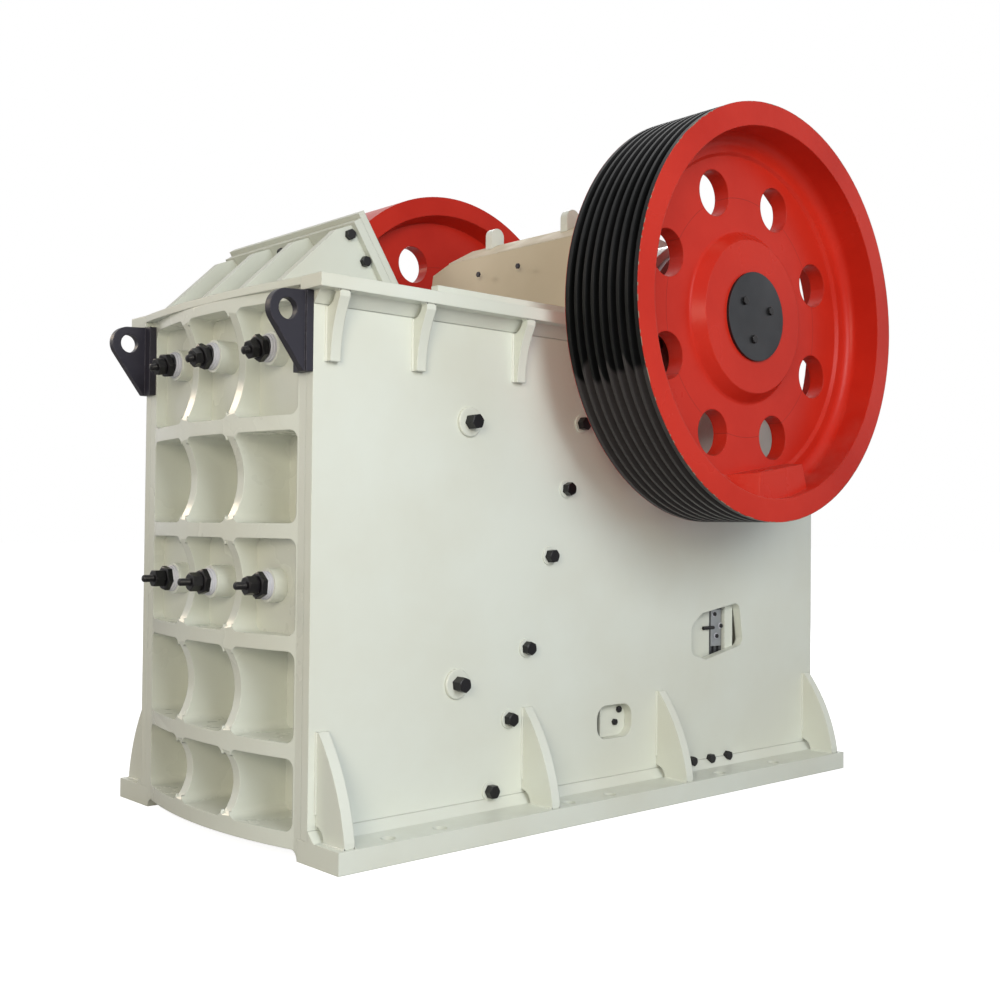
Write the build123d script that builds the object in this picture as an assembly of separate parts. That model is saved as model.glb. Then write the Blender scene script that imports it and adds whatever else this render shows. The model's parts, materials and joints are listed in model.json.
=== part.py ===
"""Single-toggle jaw crusher: a ribbed fixed-jaw frame on two base flanges, an overhead eccentric
shaft with a grooved pulley and a flywheel, and a swing jaw that hangs on the eccentric.

Millimetres. While a piece is drawn, x runs from the front face of the frame to the rear, y across
along the shaft and z up from the floor. On export the origin moves to the middle of the four
corner anchor bolts, at floor level.
"""
import os
from math import acos, atan2, cos, degrees, hypot, radians, sin, sqrt, tan

from build123d import *

# Frame box
BODY_LENGTH = 2878.0
BODY_HALF_WIDTH = 600.0
WALL = 40.0
TOP_FLANGE_TOP = 1956.0
TOP_FLANGE = 46.0
TOP_FLANGE_REACH = 85.0
TOP_BAR_DROP = 46.0
TOP_BAR_OUT = 36.0
CURB = 42.0
CURB_BEHIND_GUARD = 30.0
CURB_BEFORE_BEARING = 12.0
SLOPE_BEHIND_BEARING = 11.0
REAR_FALL = 510.0

# Base flanges and the foot gussets, whose places run from the front face, or from the rear one
BASE_THICK = 76.0
BASE_REACH = 182.0
BASE_INSET = 20.0
BASE_OVERHANG = 7.0
BASE_BAR = 36.0
ANCHOR_X = (240.0, 465.0, 1100.0, 1330.0, 2020.0)
ANCHOR_FROM_REAR = 473.0
ANCHOR_FROM_EDGE = 57.0
ANCHOR_R = 26.0
GUSSET = 42.0
FOOT_GUSSET_X = (52.0, 990.0, 1770.0)
FOOT_GUSSET_FROM_REAR = 48.0
FOOT_GUSSET_HEIGHT = 360.0
FOOT_GUSSET_TIP = 12.0
FOOT_GUSSET_SETBACK = 14.0
FOOT_GUSSET_LIP = 20.0
FOOT_GUSSET_BULGE = 26.0
FOOT_COPE_R = 49.0

# Top gussets: three from the front face, one before the bearing and one before the slope
TOP_GUSSET_X = (72.0, 440.0, 925.0)
TOP_GUSSET_BEFORE_SHAFT = 499.0
TOP_GUSSET_BEFORE_SLOPE = 55.0
TOP_GUSSET_DROP = 235.0
TOP_GUSSET_SETBACK = 6.0
TOP_GUSSET_LIP = 22.0
TOP_GUSSET_FOOT = 26.0
TOP_GUSSET_HOLLOW = 14.0
TOP_COPE_R = 50.0

# Front wall: a cast grid of cells
FRONT_BOW = 68.0
BOW_MARGIN = 8.0
BORDER = 88.0
WEB_FRONT = 175.0
WEB = 80.0
FRONT_DEPTH = 330.0
FRONT_BOTTOM = 35.0
RIB = 52.0
RIB_LEVELS = (65.0, 361.0, 722.0, 1104.0, 1474.0)
UPRIGHT_Y = 170.0
UPRIGHT = 46.0
SCALLOP = 46.0
CELL_R = 34.0
LOW_TIE_Z = 915.0
HIGH_TIE_BELOW_TOP = 216.0
TIE_COLUMNS = (-340.0, 0.0, 340.0)
TIE_BOSS_R = 60.0
TIE_BOSS_PROUD = 30.0
TOP_PLATE = 27.0
TOP_PLATE_PAST_JAW = 46.0

# Rear wall and the beam behind the toggle
REAR_WALL_INSET = 178.0
REAR_PLATE = 50.0
REAR_RIB = 45.0
REAR_RIB_INSET = 12.0
REAR_UPRIGHT_INSET = 20.0
REAR_RIB_LEVELS = (430.0, 870.0)
REAR_WALL_BELOW_TOP = 60.0
BEAM_BEFORE_WALL = 438.0
BEAM_DEPTH = 240.0
BEAM_BELOW_SEAT = 30.0
BEAM_ABOVE_SEAT = 40.0
BEAM_WALL = 55.0

# Openings in the side walls: the window from the seat's lower front corner, the slot beside the rod
WINDOW = ((21.0, 165.0), (92.0, 217.0), (354.0, 257.0), (385.0, 65.0), (119.0, 12.0), (21.0, 40.0))
WINDOW_R = 34.0
SLOT_BEFORE_SEAT = 575.0
SLOT_LENGTH = 207.0
SLOT_BELOW_ROD = 54.0
SLOT_HEIGHT = 136.0
SLOT_R = 52.0

# Lifting lugs
LUG_INSET = 8.0
LUG = 30.0
LUG_PAD = 28.0
LUG_PAD_WIDTH = 78.0
LUG_LENGTH = 271.0
LUG_BELOW_FLANGE = 2.0
LUG_NOSE_OUT = 99.0
LUG_NOSE_DROP = 70.0
LUG_NOSE_R = 66.0
LUG_HOLE_R = 36.0
LUG_HOLE_BACK = 4.0
LUG_FOOT = 34.0

# Feed guard
GUARD_FROM_WALL = 108.0
GUARD_FOOT_BEFORE_REAR = 46.0
GUARD_LEAN = 33.4
GUARD_LENGTH = 320.0
GUARD_BACK = 34.0
GUARD_LINER = 27.0
GUARD_LINER_PROUD = 18.0
GUARD_RIBS = 4
GUARD_RIB = 38.0
GUARD_RIB_EDGE = 41.0
GUARD_RIB_FOOT = 28.0
GUARD_RIB_TOP_X = 203.0
GUARD_RIB_RISE = 219.0
GUARD_RIB_CREST = 26.0

# Crushing chamber
JAW_THICK = 100.0
TOOTH_PITCH = 88.0
TOOTH_DEPTH = 44.0
TOOTH_FLAT = 21.0
JAW_BOTTOM = 400.0
JAW_BELOW_TOP = 56.0
LEDGE = 60.0
FEED_GAPE = 750.0
DISCHARGE = 135.0
CHEEK = 30.0
CHEEK_SPLIT = 1150.0
CHEEK_BEHIND = 70.0
CHEEK_BELOW_JAW = 20.0
CHEEK_GAP = 4.0

# Shaft line
SHAFT_BEHIND_JAW = 629.0
SHAFT_ABOVE_TOP = 25.0
THROW = 12.0
THROW_ANGLE = 98.7
JOURNAL_R = 130.0
HUB_SEAT_R = 118.0
ECCENTRIC_R = 170.0
RUNNING_GAP = 0.08
BEARING_R = 345.0
BEARING_PROUD_IN = 15.0
BEARING_PROUD_OUT = 135.0
BEARING_HALF_LENGTH = 470.0
BEARING_PLINTH = 90.0
FLANGE_GAP = 2.0
COVER_R = 312.0
COVER = 30.0
COVER_GAP = 6.0

# Pulley and flywheel: rim, stepped disc with holes, hub and balance weight
WHEEL_R = 828.0
RIM_PROUD = 162.0
PULLEY_WIDTH = 362.0
FLYWHEEL_WIDTH = 328.0
RIM_THICK = 93.0
RIM_TAPER = 24.0
RIM_FILLET = 45.0
STEP_BAND = 83.0
STEP = 12.0
DISC = 70.0
DISC_BEFORE_HUB_BACK = 138.0
HUB_ROOT_R = 346.0
HUB_FACE_R = 308.0
HUB_PROUD = 50.0
HUB_FILLET = 16.0
HUB_BACK_R = 240.0
HUB_GAP = 27.0
DISC_HOLE_R = 92.0
DISC_HOLES_OUTWARD = 16.0
DISC_HOLES = 8
GROOVE_COUNT = 8
GROOVE_PITCH = 42.0
GROOVE_DEPTH = 26.0
GROOVE_TOP = 30.0
GROOVE_BOTTOM = 12.0
END_CAP_R = 179.0
END_CAP = 12.0
WEIGHT_DEPTH = 119.0
WEIGHT_HALF = 142.0
WEIGHT_SPREAD = 60.0
WEIGHT_FLARE = 12.0
WEIGHT_BITE = 6.0
WEIGHT_FACE_INSET = 42.0

# Swing jaw: the head's corners are so far ahead of the shaft and above it
JAW_SIDE_GAP = 15.0
PLATE_SIDE_GAP = 10.0
PLATE_SHORT = 60.0
BARREL_R = 398.0
JAW_WALL = 105.0
JAW_SIDE_RIB = 60.0
JAW_MIDDLE_RIB_Y = 160.0
JAW_MIDDLE_RIB = 45.0
JAW_TOE = 70.0
JAW_TOE_DEPTH = 230.0
JAW_LIP = 40.0
JAW_TOP_CUT = 40.0
SHELF_UP = 330.0
SHELF_DEPTH = 300.0
BACK_BEHIND_SHAFT = 180.0
BACK_BELOW_SHAFT = 340.0
POCKET_LOW = 470.0
POCKET_HIGH = 1120.0
POCKET_REACH = 900.0
POCKET_ROOF = 20.0
HEAD_AHEAD = 447.0
HEAD_FOOT_UP = 4.0
HEAD_EDGE_AHEAD = 394.0
HEAD_EDGE_UP = 374.0
HEAD_TOP_AHEAD = 249.0
HEAD_TOP_UP = 454.0
HEAD_PLATE = 35.0
HEAD_EDGE_BEND = 30.0
HEAD_CORNER = 110.0
HEAD_CORNER_DROP = 45.0
HEAD_CORNER_TIP = 4.0
HEAD_LUG_Y = 247.0
HEAD_LUG = 42.0
HEAD_LUG_LENGTH = 76.0
HEAD_LUG_RISE = 78.0
HEAD_LUG_ROOT = 30.0
WEDGE = 70.0
WEDGE_FOOT = 20.0
WEDGE_TOP_DROP = 10.0
WEDGE_FRONT_DROP = 30.0

# Toggle, seats and tension rod: the toggle's front end is so far behind and above the jaw's toe
SEAT_DEPTH = 215.0
SEAT_LOW = 535.0
SEAT_HEIGHT = 260.0
SEAT_SIDE_GAP = 20.0
SEAT_GROOVE_UP = 133.0
GROOVE_R = 46.0
SHELF = 28.0
SHELF_PAST_SEAT = 30.0
GUIDE_INSET = 10.0
TOGGLE_BEHIND_TOE = 520.0
TOGGLE_ABOVE_TOE = 190.0
TOGGLE_SIDE_GAP = 110.0
TOGGLE_THICK = 66.0
TOGGLE_GAP = 30.0
JAW_SEAT_DEPTH = 120.0
JAW_SEAT_HEIGHT = 200.0
JAW_SEAT_PAST_TOGGLE = 40.0
SHIM = 16.0
SHIM_ROOM = 87.0
SHIM_STEP = 16.0
ROD_R = 30.0
ROD_Z = 318.0
ROD_HOLE_GAP = 6.0
ROD_NUT_GAP = 0.5
ROD_EYE_AHEAD = 69.0
ROD_EYE_R = 62.0
ROD_EYE_HOLE_R = 26.0
ROD_EYE = 64.0
ROD_TAIL = 104.0
ROD_NUT = 46.0
ROD_NUT_R = 58.0
SPRING_R = 78.0
SPRING_WIRE = 13.0
SPRING_TURNS = 5
SPRING_LENGTH = 190.0
SPRING_PLATE = 20.0
SPRING_PLATE_MARGIN = 14.0

# A little more than nothing: how far a cutting shape stands past what it cuts
PAST = 1.0

# Worked out from the sizes above: the frame
inner = BODY_HALF_WIDTH - WALL
flange_under = TOP_FLANGE_TOP - TOP_FLANGE
front_top = TOP_FLANGE_TOP - TOP_PLATE
rear_top = flange_under - REAR_FALL
anchor_x = ANCHOR_X + (BODY_LENGTH - ANCHOR_FROM_REAR,)
anchor_y = BODY_HALF_WIDTH + BASE_REACH - ANCHOR_FROM_EDGE
anchor_middle = (anchor_x[0] + anchor_x[-1]) / 2

# The chamber and the swing jaw's crushing face
fixed_face = FRONT_DEPTH + JAW_THICK
top_plate_rear = fixed_face + TOP_PLATE_PAST_JAW
guard_foot_x = top_plate_rear - GUARD_FOOT_BEFORE_REAR
guard_half_width = inner - GUARD_FROM_WALL
curb_front = guard_foot_x + (GUARD_BACK + GUARD_LINER) / cos(radians(GUARD_LEAN)) + CURB_BEHIND_GUARD
jaw_top = TOP_FLANGE_TOP - JAW_BELOW_TOP
jaw_top_x = fixed_face + FEED_GAPE
jaw_bottom_x = fixed_face + DISCHARGE
jaw_lean = degrees(atan2(jaw_top_x - jaw_bottom_x, jaw_top - JAW_BOTTOM))
jaw_length = (jaw_top - JAW_BOTTOM) / cos(radians(jaw_lean))
chamber_half_width = inner - CHEEK
jaw_half_width = chamber_half_width - JAW_SIDE_GAP

# The shaft line, from the body outwards
shaft_x = jaw_top_x + SHAFT_BEHIND_JAW
shaft_z = TOP_FLANGE_TOP + SHAFT_ABOVE_TOP
throw_x = shaft_x + THROW * cos(radians(THROW_ANGLE))
throw_z = shaft_z + THROW * sin(radians(THROW_ANGLE))
slope_start = shaft_x + BEARING_HALF_LENGTH + SLOPE_BEHIND_BEARING
bearing_inner = inner - BEARING_PROUD_IN
bearing_outer = BODY_HALF_WIDTH + BEARING_PROUD_OUT
cover_face = bearing_outer + COVER
hub_back = cover_face + HUB_GAP
disc_back = hub_back + DISC_BEFORE_HUB_BACK
disc_face = disc_back + DISC
hub_face = disc_face + HUB_PROUD
wheel_face = disc_face + RIM_PROUD
rim_inner_r = WHEEL_R - RIM_THICK
step_r = rim_inner_r - STEP_BAND
disc_hole_circle = (HUB_ROOT_R + step_r) / 2 + DISC_HOLES_OUTWARD
weight_inner_r = rim_inner_r - WEIGHT_DEPTH
head_front_x = shaft_x - HEAD_AHEAD
head_foot_z = shaft_z + HEAD_FOOT_UP

# The thrust line, from the rear wall forwards
rear_wall_x = BODY_LENGTH - REAR_WALL_INSET
rear_face = rear_wall_x + REAR_PLATE
beam_x = rear_wall_x - BEAM_BEFORE_WALL
seat_x = beam_x - SHIM_ROOM - SEAT_DEPTH
seat_high = SEAT_LOW + SEAT_HEIGHT
seat_groove_z = SEAT_LOW + SEAT_GROOVE_UP
seat_half_width = inner - SEAT_SIDE_GAP
toggle_half_width = seat_half_width - TOGGLE_SIDE_GAP
toggle_front = (jaw_bottom_x + TOGGLE_BEHIND_TOE, JAW_BOTTOM + TOGGLE_ABOVE_TOE)
jaw_seat_x = toggle_front[0] - GROOVE_R - TOGGLE_GAP - JAW_SEAT_DEPTH / 2

parts = {}


def along_y(sketch, low, high):
    """A sketch in x and z, made into a solid from y = low to y = high."""
    return extrude(Plane.XZ.offset(-high) * sketch, high - low, dir=(0, -1, 0))


def along_x(sketch, low, high):
    """A sketch in y and z, made into a solid from x = low to x = high."""
    return extrude(Plane.YZ.offset(low) * sketch, high - low, dir=(1, 0, 0))


def along_z(sketch, low, high):
    """A sketch in x and y, made into a solid from z = low to z = high."""
    return extrude(Plane.XY.offset(low) * sketch, high - low, dir=(0, 0, 1))


def block(x, y, z):
    """A box between two values of each of x, y and z."""
    size = [high - low for low, high in (x, y, z)]
    return Pos(x[0], y[0], z[0]) * Box(*size, align=(Align.MIN, Align.MIN, Align.MIN))


def outline(*points):
    """A closed straight-sided sketch through the points."""
    return Polygon(*points, align=None)


def span(low, high, low_2, high_2):
    """A rectangle sketch between two values of each of its own axes."""
    return Pos((low + high) / 2, (low_2 + high_2) / 2) * Rectangle(high - low, high_2 - low_2)


def rounded(sketch, corners, radius):
    """A sketch with the corners nearest to the given points rounded."""
    found = [min(sketch.vertices(), key=lambda v: hypot(v.X - x, v.Y - y)) for x, y in corners]
    return fillet(found, radius)


def together(pieces):
    """Several pieces as one shape: touching ones are fused, and the others stay apart."""
    group = pieces[0]
    for piece in pieces[1:]:
        group = group + piece
    return group


def on_side(shape, side):
    """A piece drawn for the pulley side (y below 0), or its mirror image on the flywheel side."""
    return shape if side == "pulley_side" else mirror(shape, about=Plane.XZ)


def bowed(edge_x, bow, half_width, rear_x):
    """A plan outline whose front edge bows forward from edge_x by bow over half_width."""
    arc = ThreePointArc((edge_x, half_width), (edge_x - bow, 0), (edge_x, -half_width))
    back = Polyline((edge_x, -half_width), (rear_x, -half_width), (rear_x, half_width), (edge_x, half_width))
    return make_face([arc, back])


def jaw_point(up, behind):
    """A point of the swing jaw: so far up its crushing face and so far behind it."""
    lean = radians(jaw_lean)
    x = jaw_bottom_x + up * sin(lean) + behind * cos(lean)
    z = JAW_BOTTOM + up * cos(lean) - behind * sin(lean)
    return x, z


def side_wall():
    """The side plate with its sloped rear, the bearing's round seat and the two openings."""
    plate = outline((0, BASE_THICK), (BODY_LENGTH, BASE_THICK), (BODY_LENGTH, rear_top),
                    (slope_start, flange_under), (0, flange_under))
    plate -= Pos(shaft_x, shaft_z) * Circle(BEARING_R + RUNNING_GAP)
    window = outline(*[(seat_x + x, SEAT_LOW + z) for x, z in WINDOW])
    window = fillet(window.vertices(), WINDOW_R)
    slot_x = seat_x - SLOT_BEFORE_SEAT
    slot_z = ROD_Z - SLOT_BELOW_ROD
    slot = span(slot_x, slot_x + SLOT_LENGTH, slot_z, slot_z + SLOT_HEIGHT)
    slot = fillet(slot.vertices(), SLOT_R)
    return along_y(plate - window - slot, -BODY_HALF_WIDTH, -inner)


def corner_bar(corner_z, out, up):
    """The sloped bar in the corner between the side wall and a flange."""
    wall_y = -BODY_HALF_WIDTH
    return outline((wall_y, corner_z), (wall_y - out, corner_z), (wall_y, corner_z + up))


def base_flange():
    """The base flange under the wall, with its anchor holes and the sloped bar along the wall."""
    outer = BODY_HALF_WIDTH + BASE_REACH
    foot = block((0, BODY_LENGTH + BASE_OVERHANG), (-outer, -inner + BASE_INSET), (0, BASE_THICK))
    foot += along_x(corner_bar(BASE_THICK, BASE_BAR, BASE_BAR), 0, BODY_LENGTH)
    for x in anchor_x:
        foot -= along_z(Pos(x, -anchor_y) * Circle(ANCHOR_R), -PAST, BASE_THICK + PAST)
    return foot


def foot_gussets():
    """The curved gussets between the wall and the base flange, coped at the sloped bar."""
    wall_y = -BODY_HALF_WIDTH
    toe = wall_y - BASE_REACH + FOOT_GUSSET_SETBACK
    top = BASE_THICK + FOOT_GUSSET_HEIGHT
    tip = (wall_y - FOOT_GUSSET_TIP, top)
    lip = (toe, BASE_THICK + FOOT_GUSSET_LIP)
    middle = ((wall_y + toe) / 2 - FOOT_GUSSET_BULGE, (BASE_THICK + top) / 2 + FOOT_GUSSET_BULGE)
    curve = ThreePointArc(tip, middle, lip)
    sides = Polyline(lip, (toe, BASE_THICK), (wall_y, BASE_THICK), (wall_y, top), tip)
    shape = make_face([curve, sides]) - Pos(wall_y, BASE_THICK) * Circle(FOOT_COPE_R)
    places = FOOT_GUSSET_X + (BODY_LENGTH - FOOT_GUSSET_FROM_REAR,)
    return together([along_x(shape, x - GUSSET / 2, x + GUSSET / 2) for x in places])


def top_flange():
    """The flange on top of the wall: level to the bearing, then level and down the slope."""
    low, high = flange_under, TOP_FLANGE_TOP
    run = BODY_LENGTH - slope_start
    rise = TOP_FLANGE * hypot(run, REAR_FALL) / run
    bend = slope_start + (rise - TOP_FLANGE) * run / REAR_FALL
    gap = BEARING_R + FLANGE_GAP
    front = span(-LUG_PAD, shaft_x - gap, low, high)
    rear = outline((shaft_x + gap, low), (slope_start, low), (BODY_LENGTH, rear_top),
                   (BODY_LENGTH, rear_top + rise), (bend, high), (shaft_x + gap, high))
    y = (-BODY_HALF_WIDTH - TOP_FLANGE_REACH, -inner)
    bar = corner_bar(low, TOP_BAR_OUT, -TOP_BAR_DROP)
    front = along_y(front, *y) + along_x(bar, 0, shaft_x - gap)
    curb_end = shaft_x - BEARING_HALF_LENGTH - CURB_BEFORE_BEARING
    front += block((curb_front, curb_end), (-BODY_HALF_WIDTH, -inner), (high, high + CURB))
    rear = along_y(rear, *y) + along_x(bar, shaft_x + gap, slope_start)
    return together([front, rear])


def top_gussets():
    """The gussets that carry the top flange, hollow in front and coped at the sloped bar."""
    wall_y = -BODY_HALF_WIDTH
    out = wall_y - TOP_FLANGE_REACH + TOP_GUSSET_SETBACK
    lip = (out, flange_under - TOP_GUSSET_LIP)
    foot = (wall_y - TOP_GUSSET_FOOT, flange_under - TOP_GUSSET_DROP)
    middle = ((lip[0] + foot[0]) / 2 + TOP_GUSSET_HOLLOW, (lip[1] + foot[1]) / 2)
    curve = ThreePointArc(lip, middle, foot)
    sides = Polyline(foot, (wall_y, foot[1]), (wall_y, flange_under), (out, flange_under), lip)
    shape = make_face([curve, sides]) - Pos(wall_y, flange_under) * Circle(TOP_COPE_R)
    places = TOP_GUSSET_X + (shaft_x - TOP_GUSSET_BEFORE_SHAFT, slope_start - TOP_GUSSET_BEFORE_SLOPE)
    return together([along_x(shape, x - GUSSET / 2, x + GUSSET / 2) for x in places])


def cell_rows():
    """The lowest and highest z of each row of cells in the front wall."""
    levels = [z for z in RIB_LEVELS if z < front_top - RIB - 2 * CELL_R] + [front_top - RIB / 4]
    return [(low + RIB / 2, high - RIB / 2) for low, high in zip(levels, levels[1:])]


def cell_columns():
    """The lowest and highest y of each column of cells in the front wall."""
    edge = BODY_HALF_WIDTH - BORDER
    near = UPRIGHT_Y - UPRIGHT / 2
    far = UPRIGHT_Y + UPRIGHT / 2
    return [(-edge, -far), (-near, near), (far, edge)]


def front_wall():
    """The fixed jaw's wall: bowed level ribs, scalloped upright ribs, bosses and the jaw's ledge."""
    bow_half = BODY_HALF_WIDTH - BORDER + BOW_MARGIN
    shape = bowed(0, FRONT_BOW, bow_half, FRONT_DEPTH)
    shape += span(0, FRONT_DEPTH, -inner, inner)
    wall = along_z(shape, FRONT_BOTTOM, front_top)
    for z_low, z_high in cell_rows():
        for y_low, y_high in cell_columns():
            cell = span(y_low, y_high, z_low, z_high)
            cell = fillet(cell.vertices(), CELL_R)
            wall -= along_x(cell, -FRONT_BOW - PAST, WEB_FRONT)
            wall -= along_x(cell, WEB_FRONT + WEB, FRONT_DEPTH + PAST)
        half = (z_high - z_low) / 2
        depth = SCALLOP + BOW_MARGIN
        radius = (half ** 2 + depth ** 2) / (2 * depth)
        rib_front = -FRONT_BOW * (1 - (UPRIGHT_Y / bow_half) ** 2)
        centre = Pos(rib_front + SCALLOP - radius, (z_low + z_high) / 2)
        for y in (-UPRIGHT_Y, UPRIGHT_Y):
            scallop = span(rib_front - SCALLOP, rib_front + SCALLOP, z_low, z_high) & (centre * Circle(radius))
            wall -= along_y(scallop, y - UPRIGHT / 2 - PAST, y + UPRIGHT / 2 + PAST)
    for z in (LOW_TIE_Z, TOP_FLANGE_TOP - HIGH_TIE_BELOW_TOP):
        for y in TIE_COLUMNS:
            bow = FRONT_BOW * (1 - (y / bow_half) ** 2)
            wall += along_x(Pos(y, z) * Circle(TIE_BOSS_R), TIE_BOSS_PROUD - bow, WEB_FRONT + PAST)
    ledge = (JAW_BOTTOM - LEDGE, JAW_BOTTOM)
    wall += block((FRONT_DEPTH, fixed_face - TOOTH_DEPTH), (-chamber_half_width, chamber_half_width), ledge)
    flange_y = inner - BASE_INSET
    for side in (-1, 1):
        wall -= block((-PAST, FRONT_DEPTH + PAST), sorted((side * flange_y, side * (inner + PAST))), (0, BASE_THICK))
        root = span(*sorted((side * flange_y, side * (flange_y - FRONT_BOTTOM))), 0, FRONT_BOTTOM)
        root -= Pos(side * (flange_y - FRONT_BOTTOM), 0) * Circle(FRONT_BOTTOM - PAST)
        wall += along_x(root, 0, FRONT_DEPTH)
    return wall


def front_top_plate():
    """The plate on top of the front wall, bowed like the ribs under it."""
    shape = bowed(-LUG_PAD, FRONT_BOW - LUG_PAD, inner, top_plate_rear)
    return along_z(shape, front_top, TOP_FLANGE_TOP)


def rear_wall():
    """The rear plate with its ribs, between the side walls."""
    top = rear_top - REAR_WALL_BELOW_TOP
    wall = block((rear_wall_x, rear_face), (-inner, inner), (BASE_THICK, top))
    edge = BODY_LENGTH - REAR_RIB_INSET
    for z in (BASE_THICK,) + REAR_RIB_LEVELS + (top - REAR_RIB,):
        wall += block((rear_wall_x, edge), (-inner, inner), (z, z + REAR_RIB))
    for y in (-UPRIGHT_Y, UPRIGHT_Y):
        wall += block((rear_wall_x, edge - REAR_UPRIGHT_INSET), (y - REAR_RIB / 2, y + REAR_RIB / 2),
                      (BASE_THICK, top - PAST))
    return wall - along_x(Pos(0, ROD_Z) * Circle(ROD_R + ROD_HOLE_GAP), rear_wall_x - PAST, rear_face + PAST)


def lifting_lug():
    """A plate with a round nose and a hole, on a pad at the front corner."""
    high = flange_under - LUG_BELOW_FLANGE
    low = high - LUG_LENGTH
    nose = (-LUG_NOSE_OUT, high - LUG_NOSE_DROP)
    run = nose[0] + LUG_FOOT
    fall = nose[1] - low
    turn = atan2(-fall, -run) - acos(LUG_NOSE_R / hypot(run, fall))
    tangent = (nose[0] + LUG_NOSE_R * cos(turn), nose[1] + LUG_NOSE_R * sin(turn))
    plate = outline((-LUG_PAD, low), (-LUG_FOOT, low), tangent, nose, (nose[0], nose[1] + LUG_NOSE_R),
                    (-LUG_PAD, high))
    shape = plate + Pos(*nose) * Circle(LUG_NOSE_R) - Pos(nose[0] + LUG_HOLE_BACK, nose[1]) * Circle(LUG_HOLE_R)
    outer_y = -BODY_HALF_WIDTH
    lug = along_y(shape, outer_y + LUG_INSET, outer_y + LUG_INSET + LUG)
    return lug + block((-LUG_PAD, 0), (outer_y, outer_y + LUG_PAD_WIDTH), (low, high))


def guard_line(up, behind):
    """A point of the feed guard: so far up its front face and so far behind it."""
    lean = radians(GUARD_LEAN)
    return (guard_foot_x - up * sin(lean) + behind * cos(lean),
            TOP_FLANGE_TOP + up * cos(lean) + behind * sin(lean))


def guard_plates():
    """The leaning plate over the front wall and the liner on its feed side."""
    slant = tan(radians(GUARD_LEAN))
    both = GUARD_BACK + GUARD_LINER
    low = guard_line(-GUARD_BACK * slant, GUARD_BACK)
    short = GUARD_LENGTH - GUARD_LINER_PROUD
    back = outline(guard_line(0, 0), low, guard_line(short, GUARD_BACK), guard_line(short, 0))
    liner = outline(low, guard_line(-both * slant, both), guard_line(GUARD_LENGTH, both),
                    guard_line(GUARD_LENGTH, GUARD_BACK))
    y = (-guard_half_width, guard_half_width)
    return along_y(back, *y), along_y(liner, *y)


def guard_ribs():
    """The triangular ribs that brace the feed guard from the front."""
    crest = (GUARD_RIB_RISE + GUARD_RIB_CREST) / cos(radians(GUARD_LEAN))
    shape = outline((-GUARD_RIB_FOOT, TOP_FLANGE_TOP), guard_line(0, 0), guard_line(crest, 0),
                    (GUARD_RIB_TOP_X, TOP_FLANGE_TOP + GUARD_RIB_RISE))
    edge = guard_half_width - GUARD_RIB_EDGE
    places = [-edge + 2 * edge * i / (GUARD_RIBS - 1) for i in range(GUARD_RIBS)]
    return together([along_y(shape, y - GUARD_RIB / 2, y + GUARD_RIB / 2) for y in places])


def toothed(half_width, height):
    """A jaw plate, standing, with its back at x = 0 and upright V-shaped teeth in front."""
    root = JAW_THICK - TOOTH_DEPTH
    count = int(2 * half_width // TOOTH_PITCH)
    first = -count * TOOTH_PITCH / 2
    points = [(0, -half_width), (root, -half_width), (root, first)]
    for i in range(count):
        y = first + i * TOOTH_PITCH
        middle = y + TOOTH_PITCH / 2
        points += [(JAW_THICK, middle - TOOTH_FLAT / 2), (JAW_THICK, middle + TOOTH_FLAT / 2), (root, y + TOOTH_PITCH)]
    points += [(root, half_width), (0, half_width)]
    return along_z(outline(*points), 0, height)


def cheeks(z_low, z_high):
    """The liner between the jaws on one side wall, from z_low to z_high."""
    lean = tan(radians(jaw_lean))
    front_x = fixed_face - TOOTH_DEPTH + CHEEK_GAP
    low_x = jaw_bottom_x + (z_low - JAW_BOTTOM) * lean + CHEEK_BEHIND
    high_x = jaw_bottom_x + (z_high - JAW_BOTTOM) * lean + CHEEK_BEHIND
    shape = outline((front_x, z_low), (low_x, z_low), (high_x, z_high), (front_x, z_high))
    return along_y(shape, -inner, -chamber_half_width)


def bearing_housing():
    """The round housing in the wall's seat, with its two feet on the top flange."""
    axis = Pos(shaft_x, shaft_z)
    bore = axis * Circle(JOURNAL_R + RUNNING_GAP)
    ring = along_y(axis * Circle(BEARING_R) - bore, -bearing_outer, -bearing_inner)
    foot = span(shaft_x - BEARING_HALF_LENGTH, shaft_x + BEARING_HALF_LENGTH, TOP_FLANGE_TOP,
                TOP_FLANGE_TOP + BEARING_PLINTH)
    foot = along_y(foot - axis * Circle(BEARING_R - PAST), -BODY_HALF_WIDTH - TOP_FLANGE_REACH, -inner)
    return ring + foot


def bearing_cover():
    """The flat ring that closes the housing's outer face."""
    axis = Pos(shaft_x, shaft_z)
    ring = axis * Circle(COVER_R) - axis * Circle(JOURNAL_R + COVER_GAP)
    return along_y(ring, -cover_face, -bearing_outer)


def weight_block(face, root):
    """A balance weight at the rim opposite the throw, wider at its root on the disc than at its face."""
    outer = rim_inner_r + WEIGHT_BITE
    flare = (outer - weight_inner_r) * tan(radians(WEIGHT_FLARE))
    ends = []
    for y, half in ((face, WEIGHT_HALF), (root, WEIGHT_HALF + WEIGHT_SPREAD)):
        ends.append(Plane.XZ.offset(-y) * outline((-half, -weight_inner_r), (-half - flare, -outer),
                                                  (half + flare, -outer), (half, -weight_inner_r)))
    shape = loft(ends) & along_y(Circle(outer), min(face, root), max(face, root))
    return Rot(0, 90 - THROW_ANGLE, 0) * shape


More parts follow.
